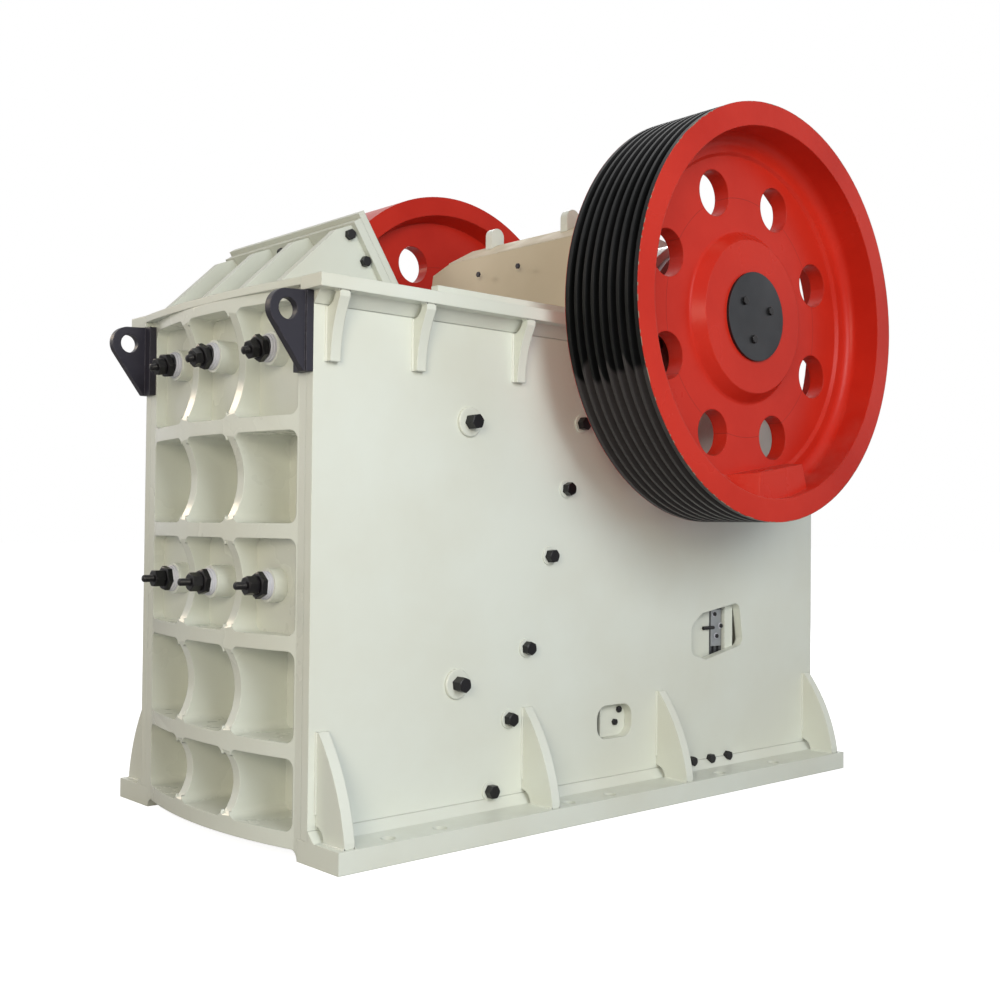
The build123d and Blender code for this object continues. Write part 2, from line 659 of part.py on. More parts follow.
def wheel(width, grooves):
    """A wheel on the pulley side: rim, stepped disc with round holes, hub and balance weights."""
    back = width - wheel_face
    step_face = -disc_face - STEP
    corner = (rim_inner_r, step_face)
    root = (HUB_ROOT_R, -disc_face)
    rim = outline((WHEEL_R, -wheel_face), (WHEEL_R, back), (rim_inner_r, back),
                  (rim_inner_r - RIM_TAPER, -disc_back), (HUB_BACK_R, -disc_back), (HUB_BACK_R, -hub_back),
                  (HUB_SEAT_R, -hub_back), (HUB_SEAT_R, -hub_face), (HUB_FACE_R, -hub_face), root,
                  (step_r, -disc_face), (step_r + STEP, step_face), corner, (rim_inner_r, -wheel_face))
    shape = rounded(rim, [corner], RIM_FILLET)
    shape = rounded(shape, [root], HUB_FILLET)
    first = (back - wheel_face) / 2 - (grooves - 1) * GROOVE_PITCH / 2
    low = WHEEL_R - GROOVE_DEPTH
    for i in range(grooves):
        y = first + i * GROOVE_PITCH
        shape -= outline((WHEEL_R + PAST, y - GROOVE_TOP / 2), (WHEEL_R + PAST, y + GROOVE_TOP / 2),
                         (low, y + GROOVE_BOTTOM / 2), (low, y - GROOVE_BOTTOM / 2))
    solid = revolve(shape, Axis.Y)
    for i in range(DISC_HOLES):
        turn = radians((i + 0.5) * 360 / DISC_HOLES)
        centre = Pos(disc_hole_circle * cos(turn), disc_hole_circle * sin(turn))
        solid -= along_y(centre * Circle(DISC_HOLE_R), step_face - PAST, PAST - disc_back)
    solid += weight_block(WEIGHT_FACE_INSET - wheel_face, -disc_face)
    solid += weight_block(back - WEIGHT_FACE_INSET, -disc_back)
    return Pos(shaft_x, 0, shaft_z) * solid


def end_cap():
    """The disc that holds the wheel on the shaft's end."""
    return along_y(Pos(shaft_x, shaft_z) * Circle(END_CAP_R), -hub_face - END_CAP, -hub_face)


def eccentric_shaft():
    """The shaft: two journals, two hub seats and the eccentric between them."""
    axis = Pos(shaft_x, shaft_z)
    shaft = along_y(Pos(throw_x, throw_z) * Circle(ECCENTRIC_R), -jaw_half_width, jaw_half_width)
    seat = hub_face - RUNNING_GAP
    shaft += along_y(axis * Circle(JOURNAL_R), -cover_face, cover_face)
    return shaft + along_y(axis * Circle(HUB_SEAT_R), -seat, seat)


def head_lines(depth):
    """The corners of the swing jaw's head, so far inside its guard's outer faces."""
    slope = atan2(HEAD_TOP_UP - HEAD_EDGE_UP, HEAD_EDGE_AHEAD - HEAD_TOP_AHEAD)
    foot = (head_front_x + depth, head_foot_z)
    edge = (shaft_x - HEAD_EDGE_AHEAD + depth, shaft_z + HEAD_EDGE_UP - depth * tan(radians(HEAD_EDGE_BEND)))
    top = (shaft_x - HEAD_TOP_AHEAD + depth * sin(slope), shaft_z + HEAD_TOP_UP - depth * cos(slope))
    return foot, edge, top


def swing_jaw():
    """The swing jaw's casting: barrel, head, front wall and ribs open to the rear."""
    foot, edge, top = head_lines(HEAD_PLATE)
    toe = jaw_point(-JAW_TOE, JAW_THICK)
    shape = outline(toe, jaw_point(0, JAW_THICK), jaw_point(jaw_length - JAW_TOP_CUT, JAW_THICK), foot, edge, top,
                    (throw_x, throw_z), (throw_x + BACK_BEHIND_SHAFT, throw_z - BACK_BELOW_SHAFT),
                    jaw_point(SHELF_UP, JAW_THICK + SHELF_DEPTH), jaw_point(-JAW_TOE, JAW_THICK + JAW_TOE_DEPTH))
    axis = Pos(throw_x, throw_z)
    shape += axis * Circle(BARREL_R)
    jaw = along_y(shape - axis * Circle(ECCENTRIC_R + RUNNING_GAP), -jaw_half_width, jaw_half_width)
    wall = JAW_THICK + JAW_WALL
    back = JAW_THICK + POCKET_REACH
    pocket = outline(jaw_point(POCKET_LOW, wall), jaw_point(POCKET_HIGH, wall), jaw_point(POCKET_HIGH, back),
                     jaw_point(POCKET_LOW, back)) - axis * Circle(BARREL_R + POCKET_ROOF)
    outer = jaw_half_width - JAW_SIDE_RIB
    near = JAW_MIDDLE_RIB_Y - JAW_MIDDLE_RIB / 2
    far = JAW_MIDDLE_RIB_Y + JAW_MIDDLE_RIB / 2
    for low, high in ((-outer, -far), (-near, near), (far, outer)):
        jaw -= along_y(pocket, low, high)
    lip = outline(toe, jaw_point(-JAW_TOE, JAW_THICK - JAW_LIP), jaw_point(0, JAW_THICK - JAW_LIP),
                  jaw_point(0, JAW_THICK))
    jaw += along_y(lip, -jaw_half_width, jaw_half_width)
    return jaw - along_y(jaw_seat(2 * JAW_SEAT_DEPTH), -jaw_half_width - PAST, jaw_half_width + PAST)


def jaw_seat(depth):
    """The outline of the toggle seat in the back of the swing jaw, so deep towards the rear."""
    low = toggle_front[1] - JAW_SEAT_HEIGHT / 2
    return span(jaw_seat_x, jaw_seat_x + depth, low, low + JAW_SEAT_HEIGHT)


def jaw_toggle_seat():
    """The hardened seat in the swing jaw's back, with the groove for the toggle's front end."""
    groove = Pos(*toggle_front) * Circle(GROOVE_R + TOGGLE_GAP)
    half = toggle_half_width + JAW_SEAT_PAST_TOGGLE
    return along_y(jaw_seat(JAW_SEAT_DEPTH) - groove, -half, half)


def moving_jaw_plate():
    """The swing jaw's toothed plate, against the casting's front wall."""
    plate = Rot(0, 0, 180) * toothed(chamber_half_width - PLATE_SIDE_GAP, jaw_length - PLATE_SHORT)
    x, z = jaw_point(0, JAW_THICK)
    return Pos(x, 0, z) * (Rot(0, jaw_lean, 0) * plate)


def jaw_wedge():
    """The wedge bar that clamps the top of the moving jaw plate."""
    low = jaw_length - PLATE_SHORT
    shape = outline(jaw_point(low, JAW_THICK), jaw_point(low + WEDGE_FOOT, JAW_THICK),
                    (head_front_x, head_foot_z - WEDGE_TOP_DROP),
                    (head_front_x - WEDGE, head_foot_z - WEDGE_FRONT_DROP), jaw_point(low, JAW_THICK - WEDGE))
    return along_y(shape, -jaw_half_width, jaw_half_width)


def head_guard():
    """The bent guard on the swing jaw's head: a front plate with cut corners and a sloped strip."""
    foot, edge, top = head_lines(0)
    foot_in, edge_in, top_in = head_lines(HEAD_PLATE)
    wide = jaw_half_width
    narrow = jaw_half_width - HEAD_CORNER
    face = along_y(outline(foot, edge, edge_in, foot_in), -wide, wide)
    over = edge[1] + HEAD_PLATE
    corner = outline((-wide - PAST, edge[1] - HEAD_CORNER_DROP), (-wide - PAST, over), (-narrow, over),
                     (-narrow, edge[1] - HEAD_CORNER_TIP))
    cut = along_x(corner, foot[0] - PAST, edge_in[0] + PAST)
    face = face - cut - mirror(cut, about=Plane.XZ)
    return face, along_y(outline(edge, top, top_in, edge_in), -narrow, narrow)


def head_lugs():
    """The two round-topped lifting posts on the swing jaw's head."""
    x, z = head_lines(0)[2]
    half = HEAD_LUG_LENGTH / 2
    base = throw_z + sqrt(BARREL_R ** 2 - (x - half - throw_x) ** 2) - HEAD_LUG_ROOT
    middle = z + HEAD_LUG_RISE - half
    shape = span(x - half, x + half, base, middle) + Pos(x, middle) * Circle(half)
    return together([along_y(shape, y - HEAD_LUG / 2, y + HEAD_LUG / 2) for y in (-HEAD_LUG_Y, HEAD_LUG_Y)])


def seat_block():
    """The adjusting seat behind the toggle, with its groove."""
    groove = Pos(seat_x, seat_groove_z) * Circle(GROOVE_R)
    return along_y(span(seat_x, seat_x + SEAT_DEPTH, SEAT_LOW, seat_high) - groove, -seat_half_width,
                   seat_half_width)


def toggle_plate():
    """The toggle: a plate with round ends, seated in the adjusting seat's groove."""
    front = toggle_front
    rear = (seat_x, seat_groove_z)
    turn = atan2(rear[1] - front[1], rear[0] - front[0])
    half_x = -sin(turn) * TOGGLE_THICK / 2
    half_z = cos(turn) * TOGGLE_THICK / 2
    shape = outline((front[0] + half_x, front[1] + half_z), (front[0] - half_x, front[1] - half_z),
                    (rear[0] - half_x, rear[1] - half_z), (rear[0] + half_x, rear[1] + half_z))
    shape += Pos(*front) * Circle(GROOVE_R)
    shape += Pos(*rear) * Circle(GROOVE_R)
    return along_y(shape, -toggle_half_width, toggle_half_width)


def seat_shelves():
    """The shelf under the adjusting seat and the guide bar over it, from wall to wall."""
    lower = block((seat_x - SHELF_PAST_SEAT, beam_x), (-inner, inner), (SEAT_LOW - SHELF, SEAT_LOW))
    upper = block((seat_x + GUIDE_INSET, beam_x), (-inner, inner), (seat_high, seat_high + SHELF))
    return together([lower, upper])


def shims():
    """The shims between the adjusting seat and the rear beam."""
    count = int(SHIM_ROOM // SHIM)
    thick = SHIM_ROOM / count
    pack = []
    for i in range(count):
        x = seat_x + SEAT_DEPTH + i * thick
        short = SHIM_STEP * (i % 2)
        pack += [block((x, x + thick), (short - seat_half_width, seat_half_width - short),
                       (SEAT_LOW, seat_high - SHIM_STEP - short))]
    return together(pack)


def rear_beam():
    """The hollow beam that takes the toggle's thrust."""
    low = SEAT_LOW - BEAM_BELOW_SEAT
    high = seat_high + BEAM_ABOVE_SEAT
    rear = beam_x + BEAM_DEPTH
    hollow = span(beam_x + BEAM_WALL, rear - BEAM_WALL, low + BEAM_WALL, high - BEAM_WALL)
    return along_y(span(beam_x, rear, low, high) - hollow, -inner, inner)


def tension_rod():
    """The rod that draws the swing jaw back against the toggle, with its eye."""
    front = toggle_front[0] - ROD_EYE_AHEAD
    rear = rear_face + 2 * SPRING_PLATE + SPRING_LENGTH + ROD_NUT + ROD_TAIL
    eye = Pos(front, ROD_Z) * Circle(ROD_EYE_R) - Pos(front, ROD_Z) * Circle(ROD_EYE_HOLE_R)
    rod = along_x(Pos(0, ROD_Z) * Circle(ROD_R), front, rear)
    rod -= along_y(Pos(front, ROD_Z) * Circle(ROD_EYE_HOLE_R), -ROD_EYE, ROD_EYE)
    return rod + along_y(eye, -ROD_EYE / 2, ROD_EYE / 2)


def tension_spring():
    """The spring on the rod behind the rear wall, between two plates."""
    start = rear_face + SPRING_PLATE + SPRING_WIRE
    pitch = (SPRING_LENGTH - 2 * SPRING_WIRE) / SPRING_TURNS
    path = Helix(pitch, pitch * SPRING_TURNS, SPRING_R - SPRING_WIRE)
    section = Plane(origin=path @ 0, z_dir=path % 0) * Circle(SPRING_WIRE)
    coil = sweep(section, path, is_frenet=True)
    return Pos(start, 0, ROD_Z) * Rot(0, 90, 0) * coil


def spring_plates():
    """The plates at the spring's ends and the nut on the rod behind them."""
    bore = Pos(0, ROD_Z) * Circle(ROD_R + ROD_NUT_GAP)
    ring = Pos(0, ROD_Z) * Circle(SPRING_R + SPRING_PLATE_MARGIN) - bore
    nut = Pos(0, ROD_Z) * RegularPolygon(ROD_NUT_R, 6) - bore
    rear = rear_face + SPRING_PLATE + SPRING_LENGTH
    plates = [along_x(ring, rear_face, rear_face + SPRING_PLATE), along_x(ring, rear, rear + SPRING_PLATE)]
    plates += [along_x(nut, rear + SPRING_PLATE, rear + SPRING_PLATE + ROD_NUT)]
    return together(plates)


for side in ("pulley_side", "flywheel_side"):
    parts[side + "_wall"] = on_side(side_wall(), side)
    parts[side + "_base_flange"] = on_side(base_flange(), side)
    parts[side + "_foot_gussets"] = on_side(foot_gussets(), side)
    parts[side + "_top_flange"] = on_side(top_flange(), side)
    parts[side + "_top_gussets"] = on_side(top_gussets(), side)
    parts[side + "_lifting_lug"] = on_side(lifting_lug(), side)
    parts[side + "_bearing_housing"] = on_side(bearing_housing(), side)
    parts[side + "_bearing_cover"] = on_side(bearing_cover(), side)
    parts[side + "_upper_cheek"] = on_side(cheeks(CHEEK_SPLIT, jaw_top - CHEEK_BELOW_JAW), side)
    parts[side + "_lower_cheek"] = on_side(cheeks(JAW_BOTTOM, CHEEK_SPLIT), side)
    parts[side + "_end_cap"] = on_side(end_cap(), side)

parts["front_wall"] = front_wall()
parts["front_top_plate"] = front_top_plate()
parts["rear_wall"] = rear_wall()
parts["feed_guard_plate"], parts["feed_guard_liner"] = guard_plates()
parts["feed_guard_ribs"] = guard_ribs()
parts["fixed_jaw_plate"] = Pos(FRONT_DEPTH, 0, JAW_BOTTOM) * toothed(chamber_half_width, jaw_top - JAW_BOTTOM)
parts["rear_beam"] = rear_beam()
parts["seat_shelves"] = seat_shelves()
parts["adjusting_seat"] = seat_block()
parts["shim_pack"] = shims()
parts["toggle_plate"] = toggle_plate()
parts["tension_rod"] = tension_rod()
parts["tension_spring"] = tension_spring()
parts["spring_plates"] = spring_plates()

parts["eccentric_shaft"] = eccentric_shaft()
parts["pulley"] = wheel(PULLEY_WIDTH, GROOVE_COUNT)
parts["flywheel"] = on_side(wheel(FLYWHEEL_WIDTH, 0), "flywheel_side")

parts["swing_jaw"] = swing_jaw()
parts["moving_jaw_plate"] = moving_jaw_plate()
parts["jaw_wedge"] = jaw_wedge()
parts["head_guard_front"], parts["head_guard_strip"] = head_guard()
parts["jaw_toggle_seat"] = jaw_toggle_seat()
parts["head_lugs"] = head_lugs() - parts["swing_jaw"] - parts["head_guard_strip"]

os.makedirs("parts", exist_ok=True)
for name, shape in parts.items():
    export_step(Pos(-anchor_middle, 0, 0) * shape, "parts/" + name + ".step")
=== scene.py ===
"""A single-toggle jaw crusher in cream, red and black paint, set up for a studio picture.

Metres, in the part's own frame: x from the ribbed front wall to the rear, y along the shaft from
the pulley to the flywheel, z up from the floor.
"""
import json
import random
from math import cos, pi, radians, sin, tan

import bpy
from mathutils import Matrix, Vector


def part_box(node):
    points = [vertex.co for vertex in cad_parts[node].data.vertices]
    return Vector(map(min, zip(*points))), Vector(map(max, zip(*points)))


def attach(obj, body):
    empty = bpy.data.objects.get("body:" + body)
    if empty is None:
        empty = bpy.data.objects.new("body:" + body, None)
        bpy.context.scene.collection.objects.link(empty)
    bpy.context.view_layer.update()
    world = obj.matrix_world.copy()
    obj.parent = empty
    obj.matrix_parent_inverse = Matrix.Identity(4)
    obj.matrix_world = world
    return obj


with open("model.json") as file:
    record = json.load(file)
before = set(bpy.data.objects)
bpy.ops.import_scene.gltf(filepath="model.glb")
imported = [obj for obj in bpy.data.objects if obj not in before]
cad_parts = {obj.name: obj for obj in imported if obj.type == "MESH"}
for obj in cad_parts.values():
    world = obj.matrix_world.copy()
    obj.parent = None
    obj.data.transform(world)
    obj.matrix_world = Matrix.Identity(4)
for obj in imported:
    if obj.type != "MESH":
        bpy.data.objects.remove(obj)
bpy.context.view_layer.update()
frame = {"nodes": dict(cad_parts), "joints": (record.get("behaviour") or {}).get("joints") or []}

# The studio: a camera at the photograph's place, a white floor and backdrop, and soft lamps.
# The floor is matt and keeps the machine's shadow, and the sky lights it from all sides.
CAMERA_PLACE = (-3.6635, -4.1307, 1.1272)
CAMERA_YAW = 0.734
CAMERA_PITCH = 0.0208
CAMERA_ROLL = 0.0098
LENS = 45.38
SENSOR = 36.0
FAR_END = 200.0
FLOOR_SIZE = 120.0
FLOOR_COLOUR = (0.48, 0.48, 0.48, 1.0)
FLOOR_LIFT = 0.90
SKY_LIGHT = (0.80, 0.83, 0.86, 1.0)
SKY_STRENGTH = 0.35
WHITE = (1.0, 1.0, 1.0, 1.0)
LAMPS = (
    ("window light", (-2.0, -9.0, 4.7), (0.2, 0.0, 1.35), 4.5, 460.0, (0.945, 0.985, 1.0)),
    ("corner light", (-7.0, -5.4, 2.8), (-1.2, -0.2, 1.3), 2.8, 245.0, (1.0, 0.92, 0.735)),
    ("front fill", (-8.6, -0.9, 2.1), (-1.2, 0.0, 1.3), 3.6, 22.0, (1.0, 0.68, 0.32)),
    ("far window", (-4.2, 8.2, 5.2), (-1.4, 0.0, 1.2), 1.8, 120.0, (1.0, 0.82, 0.62)),
    ("top light", (0.0, 0.6, 8.0), (0.0, 0.0, 1.5), 4.0, 75.0, (1.0, 1.0, 1.0)),
    ("rear window", (6.4, 5.6, 4.2), (0.6, 0.0, 1.2), 4.5, 330.0, (0.97, 0.99, 1.0)),
)


def wire(tree, kind, values=(), **options):
    """A new node with its options set, and each input given a value or joined to a socket."""
    node = tree.nodes.new(kind)
    for name, value in options.items():
        setattr(node, name, value)
    for key, value in dict(values).items():
        if isinstance(value, bpy.types.NodeSocket):
            tree.links.new(value, node.inputs[key])
        else:
            node.inputs[key].default_value = value
    return node


def calc(tree, operation, *values):
    """The socket of one sum, done with values or sockets."""
    return wire(tree, "ShaderNodeMath", dict(enumerate(values)), operation=operation).outputs[0]


def add(name, data):
    """A new object of the scene."""
    made = bpy.data.objects.new(name, data)
    bpy.context.scene.collection.objects.link(made)
    return made


camera_data = bpy.data.cameras.new("camera")
camera_data.lens = LENS
camera_data.sensor_width = SENSOR
camera_data.clip_end = FAR_END
camera = add("camera", camera_data)
camera.matrix_world = (Matrix.Translation(CAMERA_PLACE) @ Matrix.Rotation(-CAMERA_YAW, 4, "Z")
                       @ Matrix.Rotation(pi / 2 + CAMERA_PITCH, 4, "X")
                       @ Matrix.Rotation(CAMERA_ROLL, 4, "Z"))
bpy.context.scene.camera = camera

world = bpy.data.worlds.new("studio sky")
world.use_nodes = True
sky = world.node_tree
sky.nodes.clear()
ray = wire(sky, "ShaderNodeLightPath").outputs
seen = calc(sky, "MAXIMUM", ray["Is Camera Ray"], ray["Is Glossy Ray"])
seen = calc(sky, "MAXIMUM", seen, ray["Is Transmission Ray"])
light = wire(sky, "ShaderNodeBackground", {"Color": SKY_LIGHT, "Strength": SKY_STRENGTH})
white = wire(sky, "ShaderNodeBackground", {"Color": WHITE, "Strength": 1.0})
mixed = wire(sky, "ShaderNodeMixShader", {0: seen, 1: light.outputs[0], 2: white.outputs[0]})
wire(sky, "ShaderNodeOutputWorld", {"Surface": mixed.outputs[0]})
bpy.context.scene.world = world
bpy.context.scene.view_settings.view_transform = "Standard"

for name, place, aim, size, watts, colour in LAMPS:
    lamp_data = bpy.data.lights.new(name, "AREA")
    lamp_data.size = size
    lamp_data.energy = watts
    lamp_data.color = colour
    turn = (Vector(aim) - Vector(place)).to_track_quat("-Z", "Y")
    add(name, lamp_data).matrix_world = Matrix.Translation(place) @ turn.to_matrix().to_4x4()

floor_mesh = bpy.data.meshes.new("floor")
half = FLOOR_SIZE / 2
floor_mesh.from_pydata([(-half, -half, 0), (half, -half, 0), (half, half, 0), (-half, half, 0)], [],
                       [(0, 1, 2, 3)])
floor_finish = bpy.data.materials.new("white floor")
floor_finish.use_nodes = True
tree = floor_finish.node_tree
tree.nodes.clear()
ray = wire(tree, "ShaderNodeLightPath").outputs
matt = wire(tree, "ShaderNodeBsdfDiffuse", {"Color": FLOOR_COLOUR})
lift = calc(tree, "MULTIPLY", ray["Is Camera Ray"], FLOOR_LIFT)
glow = wire(tree, "ShaderNodeEmission", {"Color": WHITE, "Strength": lift})
both = wire(tree, "ShaderNodeAddShader", {0: matt.outputs[0], 1: glow.outputs[0]})
wire(tree, "ShaderNodeOutputMaterial", {"Surface": both.outputs[0]})
floor_mesh.materials.append(floor_finish)
add("floor", floor_mesh)

# Cream paint: a satin two-coat finish, sprayed on the frame's steel plates and rough castings.
# It is a little thicker and darker in patches, with a fine orange peel, and worn thin on edges.
CREAM = (0.715, 0.745, 0.690, 1.0)
CREAM_DEEP = (0.665, 0.675, 0.600, 1.0)
CREAM_WORN = (0.80, 0.81, 0.77, 1.0)
DUST = (0.50, 0.46, 0.38, 1.0)
PATCH_ENDS = (0.38, 0.66)
PATCH_DULLS = 0.22
EDGE_COSINES = (0.995, 0.86)
CHIP_SCALE = 38.0
CHIP_ENDS = (0.45, 0.62)
LOOKING_UP = (0.3, 0.95)
CLOUD_SCALE = 7.0
CLOUD_ENDS = (0.40, 0.72)
DUST_DULLS = 0.8
CAST_SCALE = 30.0


def group(kind, name, inputs, outputs):
    """A node group with named inputs and outputs: the tree, its input sockets and its output node."""
    made = bpy.data.node_groups.new(name, kind)
    for label, socket, value in inputs:
        item = made.interface.new_socket(label, in_out="INPUT", socket_type=socket)
        if value is not None:
            item.default_value = value
    for label, socket in outputs:
        made.interface.new_socket(label, in_out="OUTPUT", socket_type=socket)
    return made, made.nodes.new("NodeGroupInput").outputs, made.nodes.new("NodeGroupOutput")


def ramp(tree, value, ends):
    """0 where a value is at the first end, 1 where it is at the second, and a share of 1 between."""
    return wire(tree, "ShaderNodeMapRange", {0: value, 1: ends[0], 2: ends[1]}).outputs[0]


def blend(tree, share, first, second):
    """One colour turned into another by a share of 1."""
    return wire(tree, "ShaderNodeMix", {0: share, 6: first, 7: second}, data_type="RGBA").outputs[2]


def noise(tree, place, scale, detail, roughness=0.5):
    """Cloudy noise between 0 and 1, at a place."""
    return wire(tree, "ShaderNodeTexNoise", {"Vector": place, "Scale": scale, "Detail": detail,
                                             "Roughness": roughness}).outputs[0]


def bump(tree, depth, height, normal):
    """A normal with so deep a relief laid on it."""
    return wire(tree, "ShaderNodeBump", {"Strength": 1.0, "Distance": depth, "Height": height,
                                         "Normal": normal}).outputs[0]


SURFACE = (("Colour", "NodeSocketColor"), ("Roughness", "NodeSocketFloat"), ("Normal", "NodeSocketVector"))
coat, given, result = group(
    "ShaderNodeTree", "sprayed coat",
    (("Colour", "NodeSocketColor", CREAM), ("Deep Colour", "NodeSocketColor", CREAM_DEEP),
     ("Worn Colour", "NodeSocketColor", CREAM_WORN), ("Dust Colour", "NodeSocketColor", DUST),
     ("Patch Scale", "NodeSocketFloat", 1.1), ("Peel Scale", "NodeSocketFloat", 260.0),
     ("Peel Depth", "NodeSocketFloat", 0.00012), ("Cast Depth", "NodeSocketFloat", 0.0),
     ("Gloss", "NodeSocketFloat", 0.34), ("Wear", "NodeSocketFloat", 0.5), ("Dust", "NodeSocketFloat", 0.12),
     ("Edge", "NodeSocketFloat", 0.006)), SURFACE)
place = wire(coat, "ShaderNodeTexCoord").outputs["Object"]
patches = noise(coat, place, given["Patch Scale"], 5.0, 0.55)
body = blend(coat, ramp(coat, patches, PATCH_ENDS), given["Colour"], given["Deep Colour"])
soft = wire(coat, "ShaderNodeBevel", {"Radius": given["Edge"]}, samples=4).outputs[0]
facing = wire(coat, "ShaderNodeNewGeometry").outputs["Normal"]
turned = wire(coat, "ShaderNodeVectorMath", {0: soft, 1: facing}, operation="DOT_PRODUCT")
edge = ramp(coat, turned.outputs["Value"], EDGE_COSINES)
chip = ramp(coat, noise(coat, place, CHIP_SCALE, 6.0, 0.7), CHIP_ENDS)
worn = calc(coat, "MULTIPLY", calc(coat, "MULTIPLY", edge, chip), given["Wear"])
aged = blend(coat, worn, body, given["Worn Colour"])
upward = wire(coat, "ShaderNodeSeparateXYZ", {0: facing}).outputs[2]
cloud = ramp(coat, noise(coat, place, CLOUD_SCALE, 6.0, 0.62), CLOUD_ENDS)
settled = calc(coat, "MULTIPLY", ramp(coat, upward, LOOKING_UP), cloud)
dusty = calc(coat, "MULTIPLY", settled, given["Dust"])
dull = calc(coat, "MULTIPLY_ADD", patches, PATCH_DULLS, given["Gloss"])
dull = calc(coat, "SUBTRACT", dull, PATCH_DULLS / 2)
peel = bump(coat, given["Peel Depth"], noise(coat, place, given["Peel Scale"], 2.0), soft)
cast = bump(coat, given["Cast Depth"], noise(coat, place, CAST_SCALE, 8.0, 0.6), peel)
coat.links.new(blend(coat, dusty, aged, given["Dust Colour"]), result.inputs["Colour"])
coat.links.new(calc(coat, "MULTIPLY_ADD", dusty, DUST_DULLS, dull), result.inputs["Roughness"])
coat.links.new(cast, result.inputs["Normal"])


def finish(name, metallic=0.0, coat_weight=0.0, specular=0.4):
    """A new material: itself, its tree and its surface shader."""
    made = bpy.data.materials.new(name)
    made.use_nodes = True
    made.node_tree.nodes.clear()
    surface = wire(made.node_tree, "ShaderNodeBsdfPrincipled",
                   {"Metallic": metallic, "Coat Weight": coat_weight, "Coat Roughness": 0.2,
                    "Specular IOR Level": specular})
    wire(made.node_tree, "ShaderNodeOutputMaterial", {"Surface": surface.outputs[0]})
    return made, made.node_tree, surface


def lay(tree, kind, **values):
    """The outputs of a coat or a metal that is laid with its own values or sockets."""
    named = {key.replace("_", " "): value for key, value in values.items()}
    return wire(tree, "ShaderNodeGroup", named, node_tree=kind).outputs


def show(tree, surface, colour, roughness, normal):
    """The surface shader takes a colour, a roughness and a normal."""
    tree.links.new(colour, surface.inputs["Base Color"])
    tree.links.new(roughness, surface.inputs["Roughness"])
    tree.links.new(normal, surface.inputs["Normal"])


def painted(name, colour, deep, worn, coat_weight=0.1, specular=0.4, **values):
    """A paint: the sprayed coat with its own colours and values."""
    made, tree, surface = finish(name, coat_weight=coat_weight, specular=specular)
    show(tree, surface, *lay(tree, coat, Colour=colour, Deep_Colour=deep, Worn_Colour=worn, **values))
    return made


def dress(material, *nodes):
    """A CAD node's own mesh takes a material."""
    for node in nodes:
        mesh = frame["nodes"][node].data
        mesh.materials.clear()
        mesh.materials.append(material)


plate_cream = painted("cream on plate", CREAM, CREAM_DEEP, CREAM_WORN)
cast_cream = painted("cream on casting", CREAM, CREAM_DEEP, CREAM_WORN, coat_weight=0.3,
                     Cast_Depth=0.0009, Peel_Scale=170.0, Gloss=0.27, Edge=0.005, Dust=0.1)
SIDES = ("pulley_side", "flywheel_side")
for side in SIDES:
    dress(plate_cream, side + "_wall", side + "_base_flange", side + "_top_flange", side + "_top_gussets",
          side + "_foot_gussets")
    dress(cast_cream, side + "_bearing_housing")
dress(plate_cream, "front_top_plate", "rear_wall", "rear_beam", "seat_shelves", "adjusting_seat")
dress(cast_cream, "front_wall", "swing_jaw", "head_lugs")

# The feed guard and the head's guard: welded plate in one coat of the same cream, without a gloss.
# Their cream is darkened as painted shade, since the guard's leaning face and the head's front lie in
# shade; the head's is browner still with painted warm light bounced off the red pulley, and dustier.
GUARD_SHADED_CREAM = (0.60, 0.625, 0.570, 1.0)
GUARD_SHADED_CREAM_DEEP = (0.55, 0.555, 0.490, 1.0)
HEAD_SHADED_CREAM = (0.62, 0.53, 0.39, 1.0)
HEAD_SHADED_CREAM_DEEP = (0.56, 0.47, 0.33, 1.0)
# Feed guard: the frame's cream darkened as painted shade.
guard_shaded_cream = painted("cream darkened as painted shade", GUARD_SHADED_CREAM, GUARD_SHADED_CREAM_DEEP, CREAM_WORN, coat_weight=0.0,
                       Gloss=0.42, Dust=0.25)
dress(guard_shaded_cream, "feed_guard_plate", "feed_guard_liner", "feed_guard_ribs")
# Head's guard: a browner cream of painted shade and painted warm bounce light, with more dust.
head_shaded_cream = painted("cream with painted shade and bounce light", HEAD_SHADED_CREAM, HEAD_SHADED_CREAM_DEEP, CREAM_WORN, coat_weight=0.0, Gloss=0.45,
                      Dust=0.5)
dress(head_shaded_cream, "head_guard_front", "head_guard_strip")

# Lifting lugs: flame-cut plate with ground edges, welded on at both front corners.
# They are brushed with a thick blue-black enamel, worn at the nose and in the eye by shackles.
LUG_BLACK = (0.028, 0.026, 0.039, 1.0)
LUG_BLACK_DEEP = (0.019, 0.018, 0.027, 1.0)
LUG_BARE = (0.13, 0.12, 0.15, 1.0)
lug_enamel = painted("blue-black enamel", LUG_BLACK, LUG_BLACK_DEEP, LUG_BARE, coat_weight=0.0,
                     specular=0.3, Gloss=0.42, Wear=0.7, Edge=0.005, Dust=0.1, Cast_Depth=0.0006)
for side in SIDES:
    dress(lug_enamel, side + "_lifting_lug")

